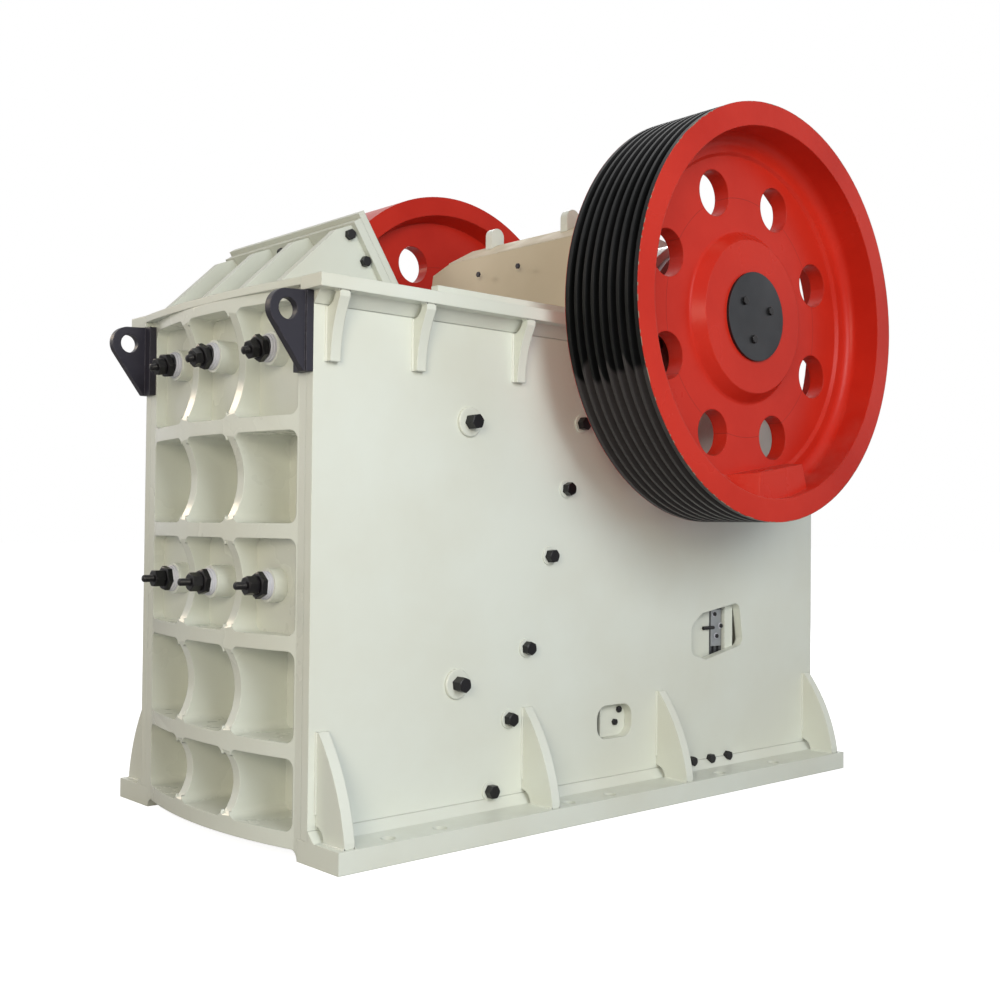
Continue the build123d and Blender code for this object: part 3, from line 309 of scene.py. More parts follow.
# Wheels: turned iron castings in red enamel, each with eight holes and a balance weight, and a fine
# circle scribed on the disc. The pulley's grooves are blacked by the belts as far as the lips of its
# rim, and grey further down below a ragged edge, which is a painted reflection of the floor; the
# enamel has flaked off the edge of its face.
RED = (0.56, 0.026, 0.013, 1.0)
RED_DEEP = (0.47, 0.017, 0.008, 1.0)
RED_WORN = (0.62, 0.10, 0.06, 1.0)
SCRIBE_RED = (0.16, 0.012, 0.008, 1.0)
SCRIBE_R = 0.484
SCRIBE = 0.0016
SCRIBE_SHARE = 0.55
BELT_BLACK = (0.0035, 0.0038, 0.0040, 1.0)
BELT_GREY = (0.007, 0.007, 0.008, 1.0)
BELT_SHINE = (0.014, 0.015, 0.016, 1.0)
BELT_FLOOR_REFLECTION = (0.045, 0.040, 0.042, 1.0)
RIM_WIDTH = 0.362
GROOVE_ROOT = 0.030
LIP = 0.0016
FLOOR_REFLECTION_BELOW = -0.28
FLOOR_REFLECTION_FADE = 0.010
REFLECTION_EDGE_REACH = 0.10
REFLECTION_EDGE_SCALE = 26.0
FLAKE_PALE = (0.24, 0.25, 0.19, 1.0)
FLAKE_REACH = 0.0024
FLAKE_SCALE = 45.0
FLAKE_LEVEL = 0.56
FLAKE_FADE = 0.02
shaft = Vector(frame["joints"][0]["pos_m"])
wheel_low, wheel_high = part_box("pulley")
wheel_r = wheel_high.x - shaft.x
face_y = wheel_low.y - shaft.y
back_y = face_y + RIM_WIDTH


def from_shaft(tree):
    """A place's distance from the shaft line, its offsets along x, y and z, and the place itself."""
    place = wire(tree, "ShaderNodeTexCoord").outputs["Object"]
    moved = wire(tree, "ShaderNodeVectorMath", {0: place, 1: tuple(shaft)}, operation="SUBTRACT")
    axes = wire(tree, "ShaderNodeSeparateXYZ", {0: moved.outputs[0]}).outputs
    flat = wire(tree, "ShaderNodeCombineXYZ", {0: axes[0], 2: axes[2]})
    length = wire(tree, "ShaderNodeVectorMath", {0: flat.outputs[0]}, operation="LENGTH")
    return length.outputs["Value"], axes, place


def step(tree, value, edge, fade=0.0004):
    """1 where a value is above an edge, and 0 below it."""
    return ramp(tree, value, (edge - fade, edge + fade))


def belt_blacked(tree, reach, axes, place, colour, roughness, normal):
    """Over the enamel: black grooves, grey low down as a painted floor reflection, and a flaked face edge.
    """
    black = lay(tree, coat, Colour=BELT_BLACK, Deep_Colour=BELT_GREY, Worn_Colour=BELT_SHINE, Gloss=0.33,
                Wear=0.15, Patch_Scale=2.2, Edge=0.002, Dust=0.0)
    behind_face = step(tree, axes[1], face_y + LIP)
    before_back = calc(tree, "SUBTRACT", 1.0, step(tree, axes[1], back_y - LIP))
    grooves = calc(tree, "MULTIPLY", step(tree, reach, wheel_r - GROOVE_ROOT), behind_face)
    grooves = calc(tree, "MULTIPLY", grooves, before_back)
    # Below a ragged level in the wheel's own frame the grooves turn grey: a painted reflection of the floor.
    reflection_edge = wire(tree, "ShaderNodeTexNoise", {"W": axes[1], "Scale": REFLECTION_EDGE_SCALE, "Detail": 1.0},
                 noise_dimensions="1D").outputs[0]
    level = calc(tree, "MULTIPLY_ADD", reflection_edge, REFLECTION_EDGE_REACH * 2, axes[2])
    above_reflection = step(tree, level, FLOOR_REFLECTION_BELOW + REFLECTION_EDGE_REACH, FLOOR_REFLECTION_FADE)
    colour = blend(tree, grooves, colour, blend(tree, above_reflection, BELT_FLOOR_REFLECTION, black["Colour"]))
    flakes = step(tree, noise(tree, place, FLAKE_SCALE, 4.0), FLAKE_LEVEL, FLAKE_FADE)
    flakes = calc(tree, "MULTIPLY", flakes, step(tree, reach, wheel_r - FLAKE_REACH))
    flakes = calc(tree, "MULTIPLY", flakes, calc(tree, "SUBTRACT", 1.0, behind_face))
    colour = blend(tree, flakes, colour, FLAKE_PALE)
    roughness = wire(tree, "ShaderNodeMix", {0: grooves, 2: roughness, 3: black["Roughness"]})
    normal = wire(tree, "ShaderNodeMix", {0: grooves, 4: normal, 5: black["Normal"]}, data_type="VECTOR")
    return colour, roughness.outputs[0], normal.outputs[1]


def wheel_finish(name, grooved):
    """Red enamel with the scribed circle and, on the pulley, the blacked rim."""
    made, tree, surface = finish(name, specular=0.15)
    red = lay(tree, coat, Colour=RED, Deep_Colour=RED_DEEP, Worn_Colour=RED_WORN, Gloss=0.30, Wear=0.35,
              Patch_Scale=1.6, Edge=0.006, Cast_Depth=0.0006, Dust=0.10)
    reach, axes, place = from_shaft(tree)
    beside = calc(tree, "ABSOLUTE", calc(tree, "SUBTRACT", reach, SCRIBE_R))
    line = calc(tree, "MULTIPLY", ramp(tree, beside, (SCRIBE, SCRIBE / 2)), SCRIBE_SHARE)
    seen = blend(tree, line, red["Colour"], SCRIBE_RED), red["Roughness"], red["Normal"]
    if grooved:
        seen = belt_blacked(tree, reach, axes, place, *seen)
    show(tree, surface, *seen)
    return made


dress(wheel_finish("red and belt-black pulley", True), "pulley")
dress(wheel_finish("red flywheel", False), "flywheel")

# Bare steel: turned, ground and rolled pieces, with fine tool marks and a film of oil.
# The end discs, the bearing covers and the shaft are turned, so their marks run round the shaft line.
STEEL = (0.080, 0.084, 0.092, 1.0)
STEEL_LIGHT = (0.13, 0.135, 0.145, 1.0)
STAIN = (0.06, 0.045, 0.035, 1.0)
DISC_DARK = (0.030, 0.032, 0.036, 1.0)
DISC_LIGHT = (0.055, 0.057, 0.062, 1.0)
COVER_GREY = (0.30, 0.28, 0.29, 1.0)
COVER_LIGHT = (0.36, 0.34, 0.35, 1.0)
STAIN_SCALE = 9.0
STAIN_ENDS = (0.46, 0.70)
STAIN_DULLS = 0.5
TONE_SCALE = 3.0
TONE_ENDS = (0.35, 0.65)
MARK_SCALE = 900.0
GRAIN_SCALE = 55.0

metal, given, result = group(
    "ShaderNodeTree", "worked metal",
    (("Colour", "NodeSocketColor", STEEL), ("Light Colour", "NodeSocketColor", STEEL_LIGHT),
     ("Stain Colour", "NodeSocketColor", STAIN), ("Stain", "NodeSocketFloat", 0.3),
     ("Marks", "NodeSocketFloat", 0.0), ("Mark Depth", "NodeSocketFloat", 0.00004),
     ("Cast Depth", "NodeSocketFloat", 0.0), ("Roughness", "NodeSocketFloat", 0.35),
     ("Edge", "NodeSocketFloat", 0.003)), SURFACE)
place = wire(metal, "ShaderNodeTexCoord").outputs["Object"]
stained = ramp(metal, noise(metal, place, STAIN_SCALE, 8.0, 0.65), STAIN_ENDS)
stained = calc(metal, "MULTIPLY", stained, given["Stain"])
tone = ramp(metal, noise(metal, place, TONE_SCALE, 3.0), TONE_ENDS)
base = blend(metal, tone, given["Colour"], given["Light Colour"])
marks = wire(metal, "ShaderNodeTexNoise", {"W": given["Marks"], "Scale": MARK_SCALE, "Detail": 2.0},
             noise_dimensions="1D").outputs[0]
soft = wire(metal, "ShaderNodeBevel", {"Radius": given["Edge"]}, samples=4).outputs[0]
marked = bump(metal, given["Mark Depth"], marks, soft)
cast = bump(metal, given["Cast Depth"], noise(metal, place, GRAIN_SCALE, 8.0, 0.65), marked)
metal.links.new(blend(metal, stained, base, given["Stain Colour"]), result.inputs["Colour"])
metal.links.new(calc(metal, "MULTIPLY_ADD", stained, STAIN_DULLS, given["Roughness"]),
                result.inputs["Roughness"])
metal.links.new(cast, result.inputs["Normal"])


def worked(name, metallic, turned_marks=True, **values):
    """A bare metal: the worked-metal group with its own values, marked round the shaft line or not."""
    made, tree, surface = finish(name, metallic=metallic)
    if turned_marks:
        values["Marks"] = from_shaft(tree)[0]
    show(tree, surface, *lay(tree, metal, **values))
    return made


turned_steel = worked("turned steel", 0.85, Roughness=0.30, Stain=0.15)
disc_steel = worked("dark turned end disc", 0.8, Colour=DISC_DARK, Light_Colour=DISC_LIGHT, Roughness=0.34,
                    Stain=0.1)
cover_steel = worked("bearing cover steel", 0.5, Colour=COVER_GREY, Light_Colour=COVER_LIGHT,
                     Roughness=0.45, Stain=0.2)
rolled_steel = worked("rolled steel", 0.7, turned_marks=False, Roughness=0.42, Stain=0.55,
                      Cast_Depth=0.0003)
for side in SIDES:
    dress(disc_steel, side + "_end_cap")
    dress(cover_steel, side + "_bearing_cover")
dress(turned_steel, "eccentric_shaft")
dress(rolled_steel, "toggle_plate", "shim_pack", "tension_rod", "tension_spring", "spring_plates",
      "jaw_toggle_seat")

# Wear parts: the jaw plates, the cheeks and the wedge, cast in manganese steel and never painted.
# Their skin is dark and sandy with brown scale, and a little brighter in patches.
MANGANESE = (0.085, 0.078, 0.070, 1.0)
MANGANESE_LIGHT = (0.15, 0.14, 0.13, 1.0)
SCALE_BROWN = (0.13, 0.070, 0.040, 1.0)
manganese = worked("cast manganese steel", 0.4, turned_marks=False, Colour=MANGANESE,
                   Light_Colour=MANGANESE_LIGHT, Stain_Colour=SCALE_BROWN, Stain=0.7, Roughness=0.52,
                   Cast_Depth=0.0016, Edge=0.006)
dress(manganese, "fixed_jaw_plate", "moving_jaw_plate", "jaw_wedge")
for side in SIDES:
    dress(manganese, side + "_upper_cheek", side + "_lower_cheek")

# Hexagon bolts in the side walls: six hold the cheeks and the wear plates inside, on turned washers,
# two are tie bolts on welded round pads, and three small ones are near the foot. Their heads are
# blacked. A place is given in x from the frame's front and in z, a head as its flats and height.
SIDE_BOLTS = ((1.1960, 1.277), (1.1050, 1.013), (0.9860, 0.661), (0.8960, 0.398), (0.8030, 0.139),
              (1.2780, 1.540))
SIDE_HEAD = (0.046, 0.030)
SIDE_WASHER_R = 0.036
SIDE_WASHER = 0.006
SIDE_TIES = ((0.6860, 1.511), (0.6370, 0.550))
SIDE_TIE_NUT = (0.050, 0.044)
SIDE_PAD_R = 0.055
SIDE_PAD = 0.012
FOOT_BOLTS = ((1.9800, 0.113), (2.1050, 0.111), (2.2250, 0.111))
FOOT_HEAD = (0.036, 0.024)
BOLT_BLACK = (0.005, 0.005, 0.006, 1.0)
BOLT_BLACK_DEEP = (0.010, 0.009, 0.011, 1.0)
BOLT_RUBBED = (0.06, 0.055, 0.062, 1.0)
HEX_CROWN = 0.47
CHAMFER = radians(28)
SHARP = radians(28)
DRAWS = 7
bolt_black = painted("blacked bolt", BOLT_BLACK, BOLT_BLACK_DEEP, BOLT_RUBBED, coat_weight=0.0,
                     specular=0.35, Gloss=0.34, Wear=0.6, Edge=0.0015, Dust=0.05)
wall_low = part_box("pulley_side_wall")[0]
front_x = wall_low.x
wall_face = -wall_low.y
draw = random.Random(DRAWS)


def lathe(name, rings, sides=36):
    """A closed solid about z. Each ring gives the radius and height at an angle, from low to high."""
    points = []
    for ring in rings:
        for i in range(sides):
            radius, height = ring(2 * pi * i / sides)
            points.append((radius * cos(2 * pi * i / sides), radius * sin(2 * pi * i / sides), height))
    faces = [tuple(range(sides))[::-1], tuple(range(len(points) - sides, len(points)))]
    for row in range(len(rings) - 1):
        low = row * sides
        for i in range(sides):
            j = (i + 1) % sides
            faces.append((low + i, low + j, low + sides + j, low + sides + i))
    mesh = bpy.data.meshes.new(name)
    mesh.from_pydata(points, [], faces)
    mesh.shade_smooth()
    mesh.set_sharp_from_angle(angle=SHARP)
    return mesh


def round_ring(radius, height):
    """A ring of a lathed solid that is as far out at every angle."""
    return lambda angle: (radius, height)


def hexagon(name, flats, height, both=False):
    """A hexagon head or nut, chamfered on top, or on both faces."""
    crown = HEX_CROWN * flats

    def reach(angle):
        return flats / 2 / cos((angle % (pi / 3)) - pi / 6)

    def drop(angle):
        return (reach(angle) - crown) * tan(CHAMFER)

    bottom = [lambda angle: (reach(angle), 0.0)]
    if both:
        bottom = [round_ring(crown, 0.0), lambda angle: (reach(angle), drop(angle))]
    top = [lambda angle: (reach(angle), height - drop(angle)), round_ring(crown, height)]
    return lathe(name, bottom + top)


def disc(name, radius, thick, chamfer=0.001):
    """A flat round washer with a small chamfer."""
    return lathe(name, [round_ring(radius, 0.0), round_ring(radius, thick - chamfer),
                        round_ring(radius - chamfer, thick)])


fasteners, given, result = group(
    "GeometryNodeTree", "fasteners",
    (("Places", "NodeSocketGeometry", None), ("Fastener", "NodeSocketObject", None),
     ("Finish", "NodeSocketMaterial", None)), (("Geometry", "NodeSocketGeometry"),))
facing = wire(fasteners, "GeometryNodeInputNamedAttribute", {"Name": "facing"}, data_type="FLOAT_VECTOR")
spin = wire(fasteners, "GeometryNodeInputNamedAttribute", {"Name": "spin"}, data_type="FLOAT")
aligned = wire(fasteners, "FunctionNodeAlignRotationToVector", {"Vector": facing.outputs["Attribute"]},
               axis="Z")
turned = wire(fasteners, "FunctionNodeAxisAngleToRotation",
              {"Axis": (0, 0, 1), "Angle": spin.outputs["Attribute"]})
heading = wire(fasteners, "FunctionNodeRotateRotation", {0: aligned.outputs[0], 1: turned.outputs[0]},
               rotation_space="LOCAL")
source = wire(fasteners, "GeometryNodeObjectInfo", {"Object": given["Fastener"]})
placed = wire(fasteners, "GeometryNodeInstanceOnPoints",
              {"Points": given["Places"], "Rotation": heading.outputs[0],
               "Instance": source.outputs["Geometry"]})
real = wire(fasteners, "GeometryNodeRealizeInstances", {0: placed.outputs[0]})
done = wire(fasteners, "GeometryNodeSetMaterial", {"Geometry": real.outputs[0], "Material": given["Finish"]})
fasteners.links.new(done.outputs[0], result.inputs[0])


def grow(name, start, tree, **inputs):
    """A plain mesh object of what a geometry tree makes from a start mesh."""
    seed = add(name + "_start", start)
    modifier = seed.modifiers.new("make", "NODES")
    modifier.node_group = tree
    for item in tree.interface.items_tree:
        if item.item_type == "SOCKET" and item.in_out == "INPUT" and item.name in inputs:
            modifier[item.identifier] = inputs[item.name]
    view = bpy.context.evaluated_depsgraph_get()
    mesh = bpy.data.meshes.new_from_object(seed.evaluated_get(view), depsgraph=view)
    mesh.name = name
    bpy.data.objects.remove(seed)
    return add(name, mesh)


def fasten(name, shape, places, material=bolt_black, body="frame"):
    """Like fasteners at several places, each a point and the way it faces, as one piece of a body."""
    pattern = add("pattern", shape)
    start = bpy.data.meshes.new(name)
    start.from_pydata([tuple(point) for point, way in places], [], [])
    start.attributes.new("facing", "FLOAT_VECTOR", "POINT")
    start.attributes.new("spin", "FLOAT", "POINT")
    for i, (point, way) in enumerate(places):
        start.attributes["facing"].data[i].vector = way
        start.attributes["spin"].data[i].value = draw.uniform(0, pi / 3)
    piece = grow(name, start, fasteners, Fastener=pattern, Finish=material)
    bpy.data.objects.remove(pattern)
    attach(piece, body)


def both_sides(places, face):
    """Places on both sides of the machine, on faces so far from its middle, each facing outwards."""
    return [((front_x + x, s * face, z), (0, s, 0)) for x, z in places for s in (-1, 1)]


fasten("side_wall_washers", disc("washer", SIDE_WASHER_R, SIDE_WASHER), both_sides(SIDE_BOLTS, wall_face),
       plate_cream)
fasten("side_wall_bolts", hexagon("head", *SIDE_HEAD), both_sides(SIDE_BOLTS, wall_face + SIDE_WASHER))
fasten("side_tie_pads", disc("pad", SIDE_PAD_R, SIDE_PAD, chamfer=0.003), both_sides(SIDE_TIES, wall_face),
       plate_cream)
fasten("side_tie_nuts", hexagon("nut", *SIDE_TIE_NUT), both_sides(SIDE_TIES, wall_face + SIDE_PAD))
fasten("side_foot_bolts", hexagon("small head", *FOOT_HEAD), both_sides(FOOT_BOLTS, wall_face))

# Tie bolts through the fixed jaw's wall: they hold the toothed plate behind it. Each has a pair of pale
# thick washers on its cast boss, a broad nut, a long narrow one and a rounded stud end, all blacked.
# The upper row droops, on spherical seats. A row is its height, its droop and how high it is seated.
TIE_COLUMNS = (-0.340, 0.0, 0.340)
SEAT_UP = 0.012
SEAT_R = 0.041
SEAT_DOME = 1.2
SEAT_ANGLES = (0.0, 0.3, 0.6, 0.9, 1.2, 1.45)
LOWER_ROW = (0.915, 0.0, 0.0)
UPPER_ROW = (1.740, radians(13), SEAT_UP)
BOW_HALF = 0.520
BOSS_PROUD = 0.030
TIE_WASHER = 0.020
TIE_WASHER_R = 0.050
WASHER_GROOVE = 0.003
WASHER_PALE = (0.60, 0.60, 0.66, 1.0)
WASHER_PALE_DEEP = (0.50, 0.50, 0.56, 1.0)
WASHER_RUBBED = (0.75, 0.75, 0.76, 1.0)
TIE_NUT = 0.022
TIE_NUT_FLATS = 0.084
SLEEVE = 0.042
UPPER_SLEEVE = 0.032
SLEEVE_FLATS = 0.060
STUD_R = 0.0140
STUD_END = 0.038
UPPER_STUD_END = 0.020
STUD_TIP = ((0.8, 0.15), (0.45, 0.25))
THREAD_PITCH = 0.004
THREAD_DEPTH = 0.0014
bow = front_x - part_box("front_wall")[0].x
washer_pale = painted("pale washer", WASHER_PALE, WASHER_PALE_DEEP, WASHER_RUBBED, coat_weight=0.1,
                      Gloss=0.36, Wear=0.5, Edge=0.002, Dust=0.1)


def threaded(name, radius, length):
    """A stud's end: ridges at the thread's pitch, and a rounded tip."""
    rings = [round_ring(radius, 0.0)]
    for i in range(int(length / THREAD_PITCH)):
        rings += [round_ring(radius - THREAD_DEPTH, (i + 0.5) * THREAD_PITCH),
                  round_ring(radius, (i + 1) * THREAD_PITCH)]
    rings += [round_ring(share * radius, length + up * radius) for share, up in STUD_TIP]
    return lathe(name, rings)


def washer_pair(name, radius, thick, groove):
    """Two thick washers, one on the other, with a fine groove between them."""
    half = thick / 2
    return lathe(name, [round_ring(radius, 0.0), round_ring(radius, half - groove / 2),
                        round_ring(radius - groove, half), round_ring(radius - groove, half + groove / 2),
                        round_ring(radius - groove, thick - groove), round_ring(radius - 2 * groove, thick)])


def spherical_seat(name):
    """A domed washer, a little higher than the bolt's seat, so that the nut sits in it."""
    return lathe(name, [round_ring(SEAT_R * cos(t), SEAT_UP * SEAT_DOME * sin(t)) for t in SEAT_ANGLES])


def tie_places(rows, out=0.0):
    """The tie bolts' places, so far out along each bolt from its washers or its seat."""
    places = []
    for z, droop, seat in rows:
        reach = out + seat
        for y in TIE_COLUMNS:
            face = front_x + BOSS_PROUD - bow * (1 - (y / BOW_HALF) ** 2) - TIE_WASHER
            places.append(((face - reach * cos(droop), y, z - reach * sin(droop)),
                           (-cos(droop), 0, -sin(droop))))
    return places


level_rows = [(z, 0.0, 0.0) for z, droop, seat in (LOWER_ROW, UPPER_ROW)]
fasten("tie_washers", washer_pair("tie washer", TIE_WASHER_R, TIE_WASHER, WASHER_GROOVE),
       tie_places(level_rows, -TIE_WASHER), washer_pale)
fasten("tie_seats", spherical_seat("seat"), tie_places(level_rows[1:]))
fasten("tie_nuts", hexagon("tie nut", TIE_NUT_FLATS, TIE_NUT), tie_places([LOWER_ROW, UPPER_ROW]))
for name, row, sleeve, end in (("lower_tie", LOWER_ROW, SLEEVE, STUD_END),
                               ("upper_tie", UPPER_ROW, UPPER_SLEEVE, UPPER_STUD_END)):
    fasten(name + "_sleeve_nuts", hexagon("sleeve nut", SLEEVE_FLATS, sleeve, both=True),
           tie_places([row], TIE_NUT))
    fasten(name + "_stud_ends", threaded("stud end", STUD_R, end), tie_places([row], TIE_NUT + sleeve))

# Bolts of the feed guard: two through each end rib, and two between the middle ribs through the
# leaning plate into its liner. Plain black hexagon heads, without washers.
GUARD_END_BOLTS = ((0.258, 2.164), (0.326, 2.077))
GUARD_END_HEAD = (0.034, 0.020)
GUARD_LEAN = radians(33.4)
GUARD_FOOT_X = 0.430
GUARD_BOLT_UP = 0.268
GUARD_BOLT_Y = (-0.045, 0.045)
GUARD_FACE_HEAD = (0.032, 0.018)
rib_face = -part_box("feed_guard_ribs")[0].y
fasten("guard_end_bolts", hexagon("guard head", *GUARD_END_HEAD), both_sides(GUARD_END_BOLTS, rib_face))
bolt_x = front_x + GUARD_FOOT_X - GUARD_BOLT_UP * sin(GUARD_LEAN)
bolt_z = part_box("front_top_plate")[1].z + GUARD_BOLT_UP * cos(GUARD_LEAN)
fasten("guard_face_bolts", hexagon("face head", *GUARD_FACE_HEAD),
       [((bolt_x, y, bolt_z), (-cos(GUARD_LEAN), 0, -sin(GUARD_LEAN))) for y in GUARD_BOLT_Y])

# Floors of the cells that hold the tie bolts: cast panels between the front wall's ribs, which stand
# further forward than the web of the other cells. They carry the bosses and are painted with the wall.
FLOOR_FRONT = 0.042
CELL_FLOOR = 0.024
FLOOR_HALF = 0.515
FLOOR_ROWS = ((0.730, 1.090), (1.482, 1.893))


def slab(corners):
    """A closed block between two corners, with its faces outward, as vertices and faces."""
    (x0, y0, z0), (x1, y1, z1) = corners
    points = [(x, y, z) for z in (z0, z1) for y in (y0, y1) for x in (x0, x1)]
    faces = [(0, 2, 3, 1), (4, 5, 7, 6), (0, 1, 5, 4), (2, 6, 7, 3), (0, 4, 6, 2), (1, 3, 7, 5)]
    return points, faces


def slabs(name, blocks, material, edge=0.0015):
    """Several blocks as one piece of the frame, with bevelled edges."""
    points, faces = [], []
    for corners in blocks:
        more, sides = slab(corners)
        faces += [tuple(i + len(points) for i in side) for side in sides]
        points += more
    mesh = bpy.data.meshes.new(name)
    mesh.from_pydata(points, [], faces)
    mesh.materials.append(material)
    piece = add(name, mesh)
    bevel = piece.modifiers.new("edges", "BEVEL")
    bevel.width = edge
    bevel.segments = 2
    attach(piece, "frame")


floor_x = front_x + FLOOR_FRONT
slabs("cell_floors", [((floor_x, -FLOOR_HALF, low), (floor_x + CELL_FLOOR, FLOOR_HALF, high))
                      for low, high in FLOOR_ROWS], cast_cream)

# Fittings behind the upper windows: a steel keeper over the ends of the shims, held by three bolts on
# bright washers, and a blacked stud along the seat's end, by which the seat is drawn back.
KEEPER = 0.005
KEEPER_INSET = 0.008
KEEPER_LOW = 0.060
KEEPER_HIGH = 0.225
KEEPER_BOLTS = ((2.203, 0.740), (2.248, 0.686), (2.218, 0.641))
KEEPER_HEAD = (0.017, 0.009)
KEEPER_WASHER_R = 0.014
KEEPER_WASHER = 0.002
SEAT_STUD_R = 0.008
SEAT_STUD_LENGTH = 0.074
SEAT_STUD_PLACE = (2.196, 0.680)
ZINC = (0.34, 0.36, 0.38, 1.0)
ZINC_LIGHT = (0.50, 0.52, 0.54, 1.0)
bright_steel = worked("bright zinced steel", 0.8, turned_marks=False, Colour=ZINC, Light_Colour=ZINC_LIGHT,
                      Roughness=0.34, Stain=0.25)
seat_low, seat_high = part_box("adjusting_seat")
seat_end = seat_high.y
keeper_face = seat_end + KEEPER


def flank(low, high, y0, y1):
    """The blocks between two corners in x and z, from y0 to y1 out of the middle, on both sides."""
    return [((low[0], min(s * y0, s * y1), low[1]), (high[0], max(s * y0, s * y1), high[1]))
            for s in (-1, 1)]


slabs("shim_keepers", flank((seat_high.x + KEEPER_INSET, seat_low.z + KEEPER_LOW),
                            (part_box("shim_pack")[1].x - KEEPER_INSET, seat_low.z + KEEPER_HIGH),
                            seat_end, keeper_face), bright_steel)
places = both_sides(KEEPER_BOLTS, keeper_face)
fasten("keeper_washers", disc("keeper washer", KEEPER_WASHER_R, KEEPER_WASHER, chamfer=0.0005), places,
       washer_pale)
fasten("keeper_bolts", hexagon("keeper head", *KEEPER_HEAD), places)
places = [(point, (-1, 0, 0)) for point, way in both_sides([SEAT_STUD_PLACE], seat_end + SEAT_STUD_R)]
fasten("seat_studs", disc("seat stud", SEAT_STUD_R, SEAT_STUD_LENGTH, chamfer=0.002), places)

# Pads behind the lower slots: flame-cut steel blocks, flush with the walls' inner faces and painted
# with them. Each is held by two black bolts, whose heads show through the slot.
SLOT_PAD_LOW = (1.446, 0.262)
SLOT_PAD_HIGH = (1.610, 0.402)
SLOT_PAD = 0.030
SLOT_PAD_BOLTS = ((1.552, 0.372), (1.527, 0.322))
SLOT_PAD_HEAD = (0.024, 0.012)
pad_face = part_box("rear_beam")[1].y
slabs("slot_pads", flank((front_x + SLOT_PAD_LOW[0], SLOT_PAD_LOW[1]),
                         (front_x + SLOT_PAD_HIGH[0], SLOT_PAD_HIGH[1]), pad_face - SLOT_PAD, pad_face),
      plate_cream, edge=0.004)
fasten("slot_pad_bolts", hexagon("pad head", *SLOT_PAD_HEAD), both_sides(SLOT_PAD_BOLTS, pad_face))

# Bolts of the head's guard: two small ones in its front plate, one each side of the middle.
# They are brushed with the lugs' enamel, and they ride with the swing jaw.
HEAD_BOLT_Y = (-0.130, 0.130)
HEAD_BOLT_Z = 2.257
HEAD_BOLT_HEAD = (0.022, 0.008)
head_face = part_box("head_guard_front")[0].x
fasten("head_guard_bolts", hexagon("head guard head", *HEAD_BOLT_HEAD),
       [((head_face, y, HEAD_BOLT_Z), (-1, 0, 0)) for y in HEAD_BOLT_Y], lug_enamel, body="swing_jaw")

# Weld beads: fillet welds on both faces of each gusset, along the wall and along the flange. They were
# laid by hand, so they swell and thin along their length, and are painted over with the frame.
FOOT_GUSSETS = (0.052, 0.990, 1.770, 2.830)
TOP_GUSSETS = (0.072, 0.440, 0.925, 1.310, 2.235)
GUSSET_HALF = 0.021
FOOT_COPE = 0.049
TOP_COPE = 0.050
BEAD_R = 0.0055
BEAD_STEP = 0.006
BEAD_SIDES = 8
SWELL_SCALE = 70.0

welds, given, result = group(
    "GeometryNodeTree", "weld beads",
    (("Runs", "NodeSocketGeometry", None), ("Radius", "NodeSocketFloat", BEAD_R),
     ("Step", "NodeSocketFloat", BEAD_STEP), ("Swell", "NodeSocketFloat", 0.35),
     ("Finish", "NodeSocketMaterial", None)), (("Geometry", "NodeSocketGeometry"),))
line = wire(welds, "GeometryNodeMeshToCurve", {0: given["Runs"]})
spaced = wire(welds, "GeometryNodeResampleCurve", {"Curve": line.outputs[0], "Length": given["Step"]},
              mode="LENGTH")
waves = wire(welds, "ShaderNodeTexNoise", {"Scale": SWELL_SCALE, "Detail": 2.0})
centred = calc(welds, "SUBTRACT", waves.outputs[0], 0.5)
swell = calc(welds, "MULTIPLY_ADD", centred, given["Swell"], 1.0)
sized = wire(welds, "GeometryNodeSetCurveRadius", {"Curve": spaced.outputs[0], "Radius": swell})
section = wire(welds, "GeometryNodeCurvePrimitiveCircle",
               {"Resolution": BEAD_SIDES, "Radius": given["Radius"]})
bead = wire(welds, "GeometryNodeCurveToMesh",
            {"Curve": sized.outputs[0], "Profile Curve": section.outputs[0], "Fill Caps": True})
real = wire(welds, "GeometryNodeRealizeInstances", {0: bead.outputs[0]})
done = wire(welds, "GeometryNodeSetMaterial", {"Geometry": real.outputs[0], "Material": given["Finish"]})
welds.links.new(done.outputs[0], result.inputs[0])


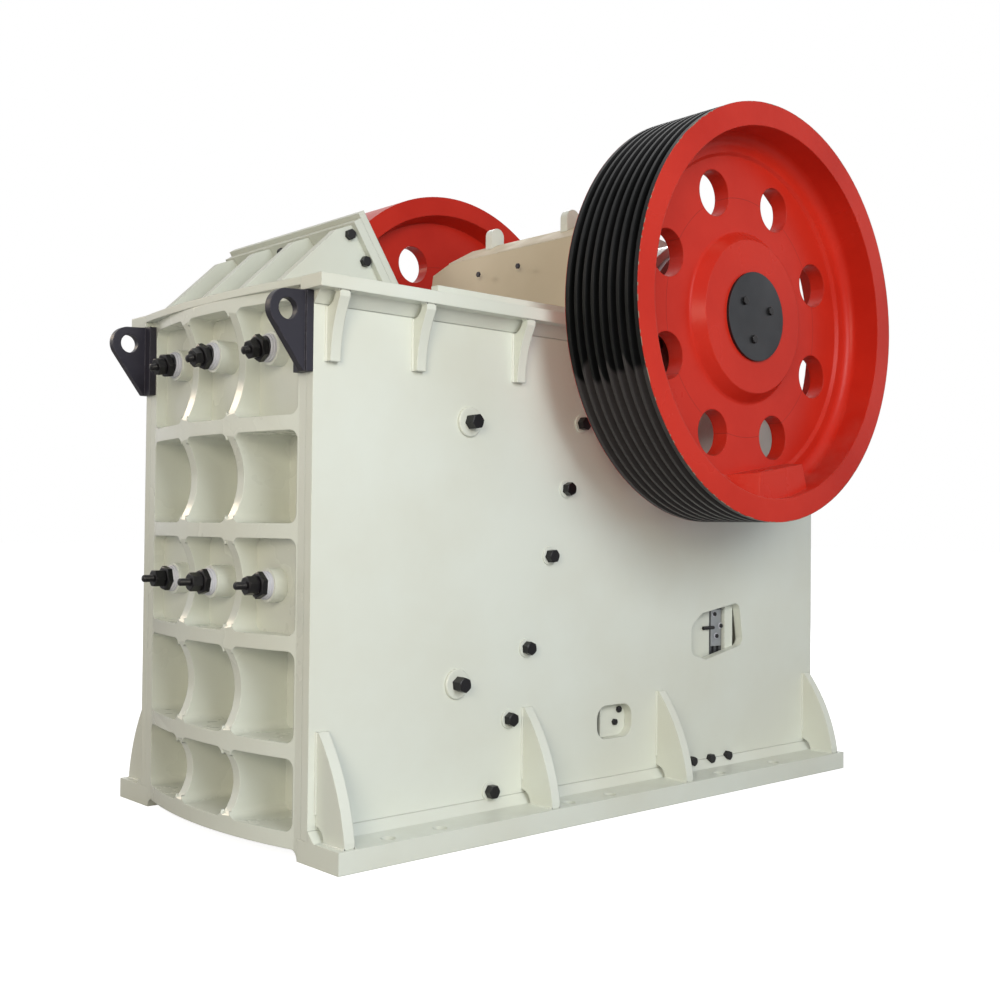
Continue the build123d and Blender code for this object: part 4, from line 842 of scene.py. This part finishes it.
def weld(name, gussets, cope, wall_z, flange_z, flange_end):
    """The beads of like gussets on both sides: between two heights on the wall, and out on the flange."""
    runs = []
    for s in (-1, 1):
        for x in gussets:
            for face in (front_x + x - GUSSET_HALF, front_x + x + GUSSET_HALF):
                runs += [[(face, s * wall_face, z) for z in wall_z],
                         [(face, s * y, flange_z) for y in (wall_face + cope, flange_end)]]
    start = bpy.data.meshes.new(name)
    start.from_pydata([point for run in runs for point in run],
                      [(2 * i, 2 * i + 1) for i in range(len(runs))], [])
    piece = grow(name, start, welds, Finish=plate_cream)
    piece.data.shade_smooth()
    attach(piece, "frame")


base_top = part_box("pulley_side_base_flange")[1].z
foot_low, foot_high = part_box("pulley_side_foot_gussets")
weld("foot_gusset_welds", FOOT_GUSSETS, FOOT_COPE, (base_top + FOOT_COPE, foot_high.z), foot_low.z,
     -foot_low.y)
top_low, top_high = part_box("pulley_side_top_gussets")
weld("top_gusset_welds", TOP_GUSSETS, TOP_COPE, (top_high.z - TOP_COPE, top_low.z), top_high.z,
     -top_low.y)

# Bolts of the shaft line: eight hexagon bolts hold each bearing cover to its housing, and three low
# ones hold each end disc to the shaft and turn with it. All are blacked.
COVER_BOLT_CIRCLE = 0.290
COVER_BOLTS = 8
COVER_HEAD = (0.036, 0.022)
DISC_BOLT_CIRCLE = 0.095
DISC_BOLT_ANGLES = (145, 20, -101)
DISC_HEAD = (0.030, 0.010)


def round_shaft(radius, angles, node):
    """Places round the shaft line on a node's outer face and its mirror, from +x towards +z."""
    face = -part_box(node)[0].y
    return [((shaft.x + radius * cos(radians(a)), s * face, shaft.z + radius * sin(radians(a))), (0, s, 0))
            for a in angles for s in (-1, 1)]


fasten("cover_bolts", hexagon("cover head", *COVER_HEAD),
       round_shaft(COVER_BOLT_CIRCLE, [360 * (i + 0.5) / COVER_BOLTS for i in range(COVER_BOLTS)],
                   "pulley_side_bearing_cover"))
fasten("end_disc_bolts", hexagon("cap head", *DISC_HEAD),
       round_shaft(DISC_BOLT_CIRCLE, DISC_BOLT_ANGLES, "pulley_side_end_cap"), body="rotor")
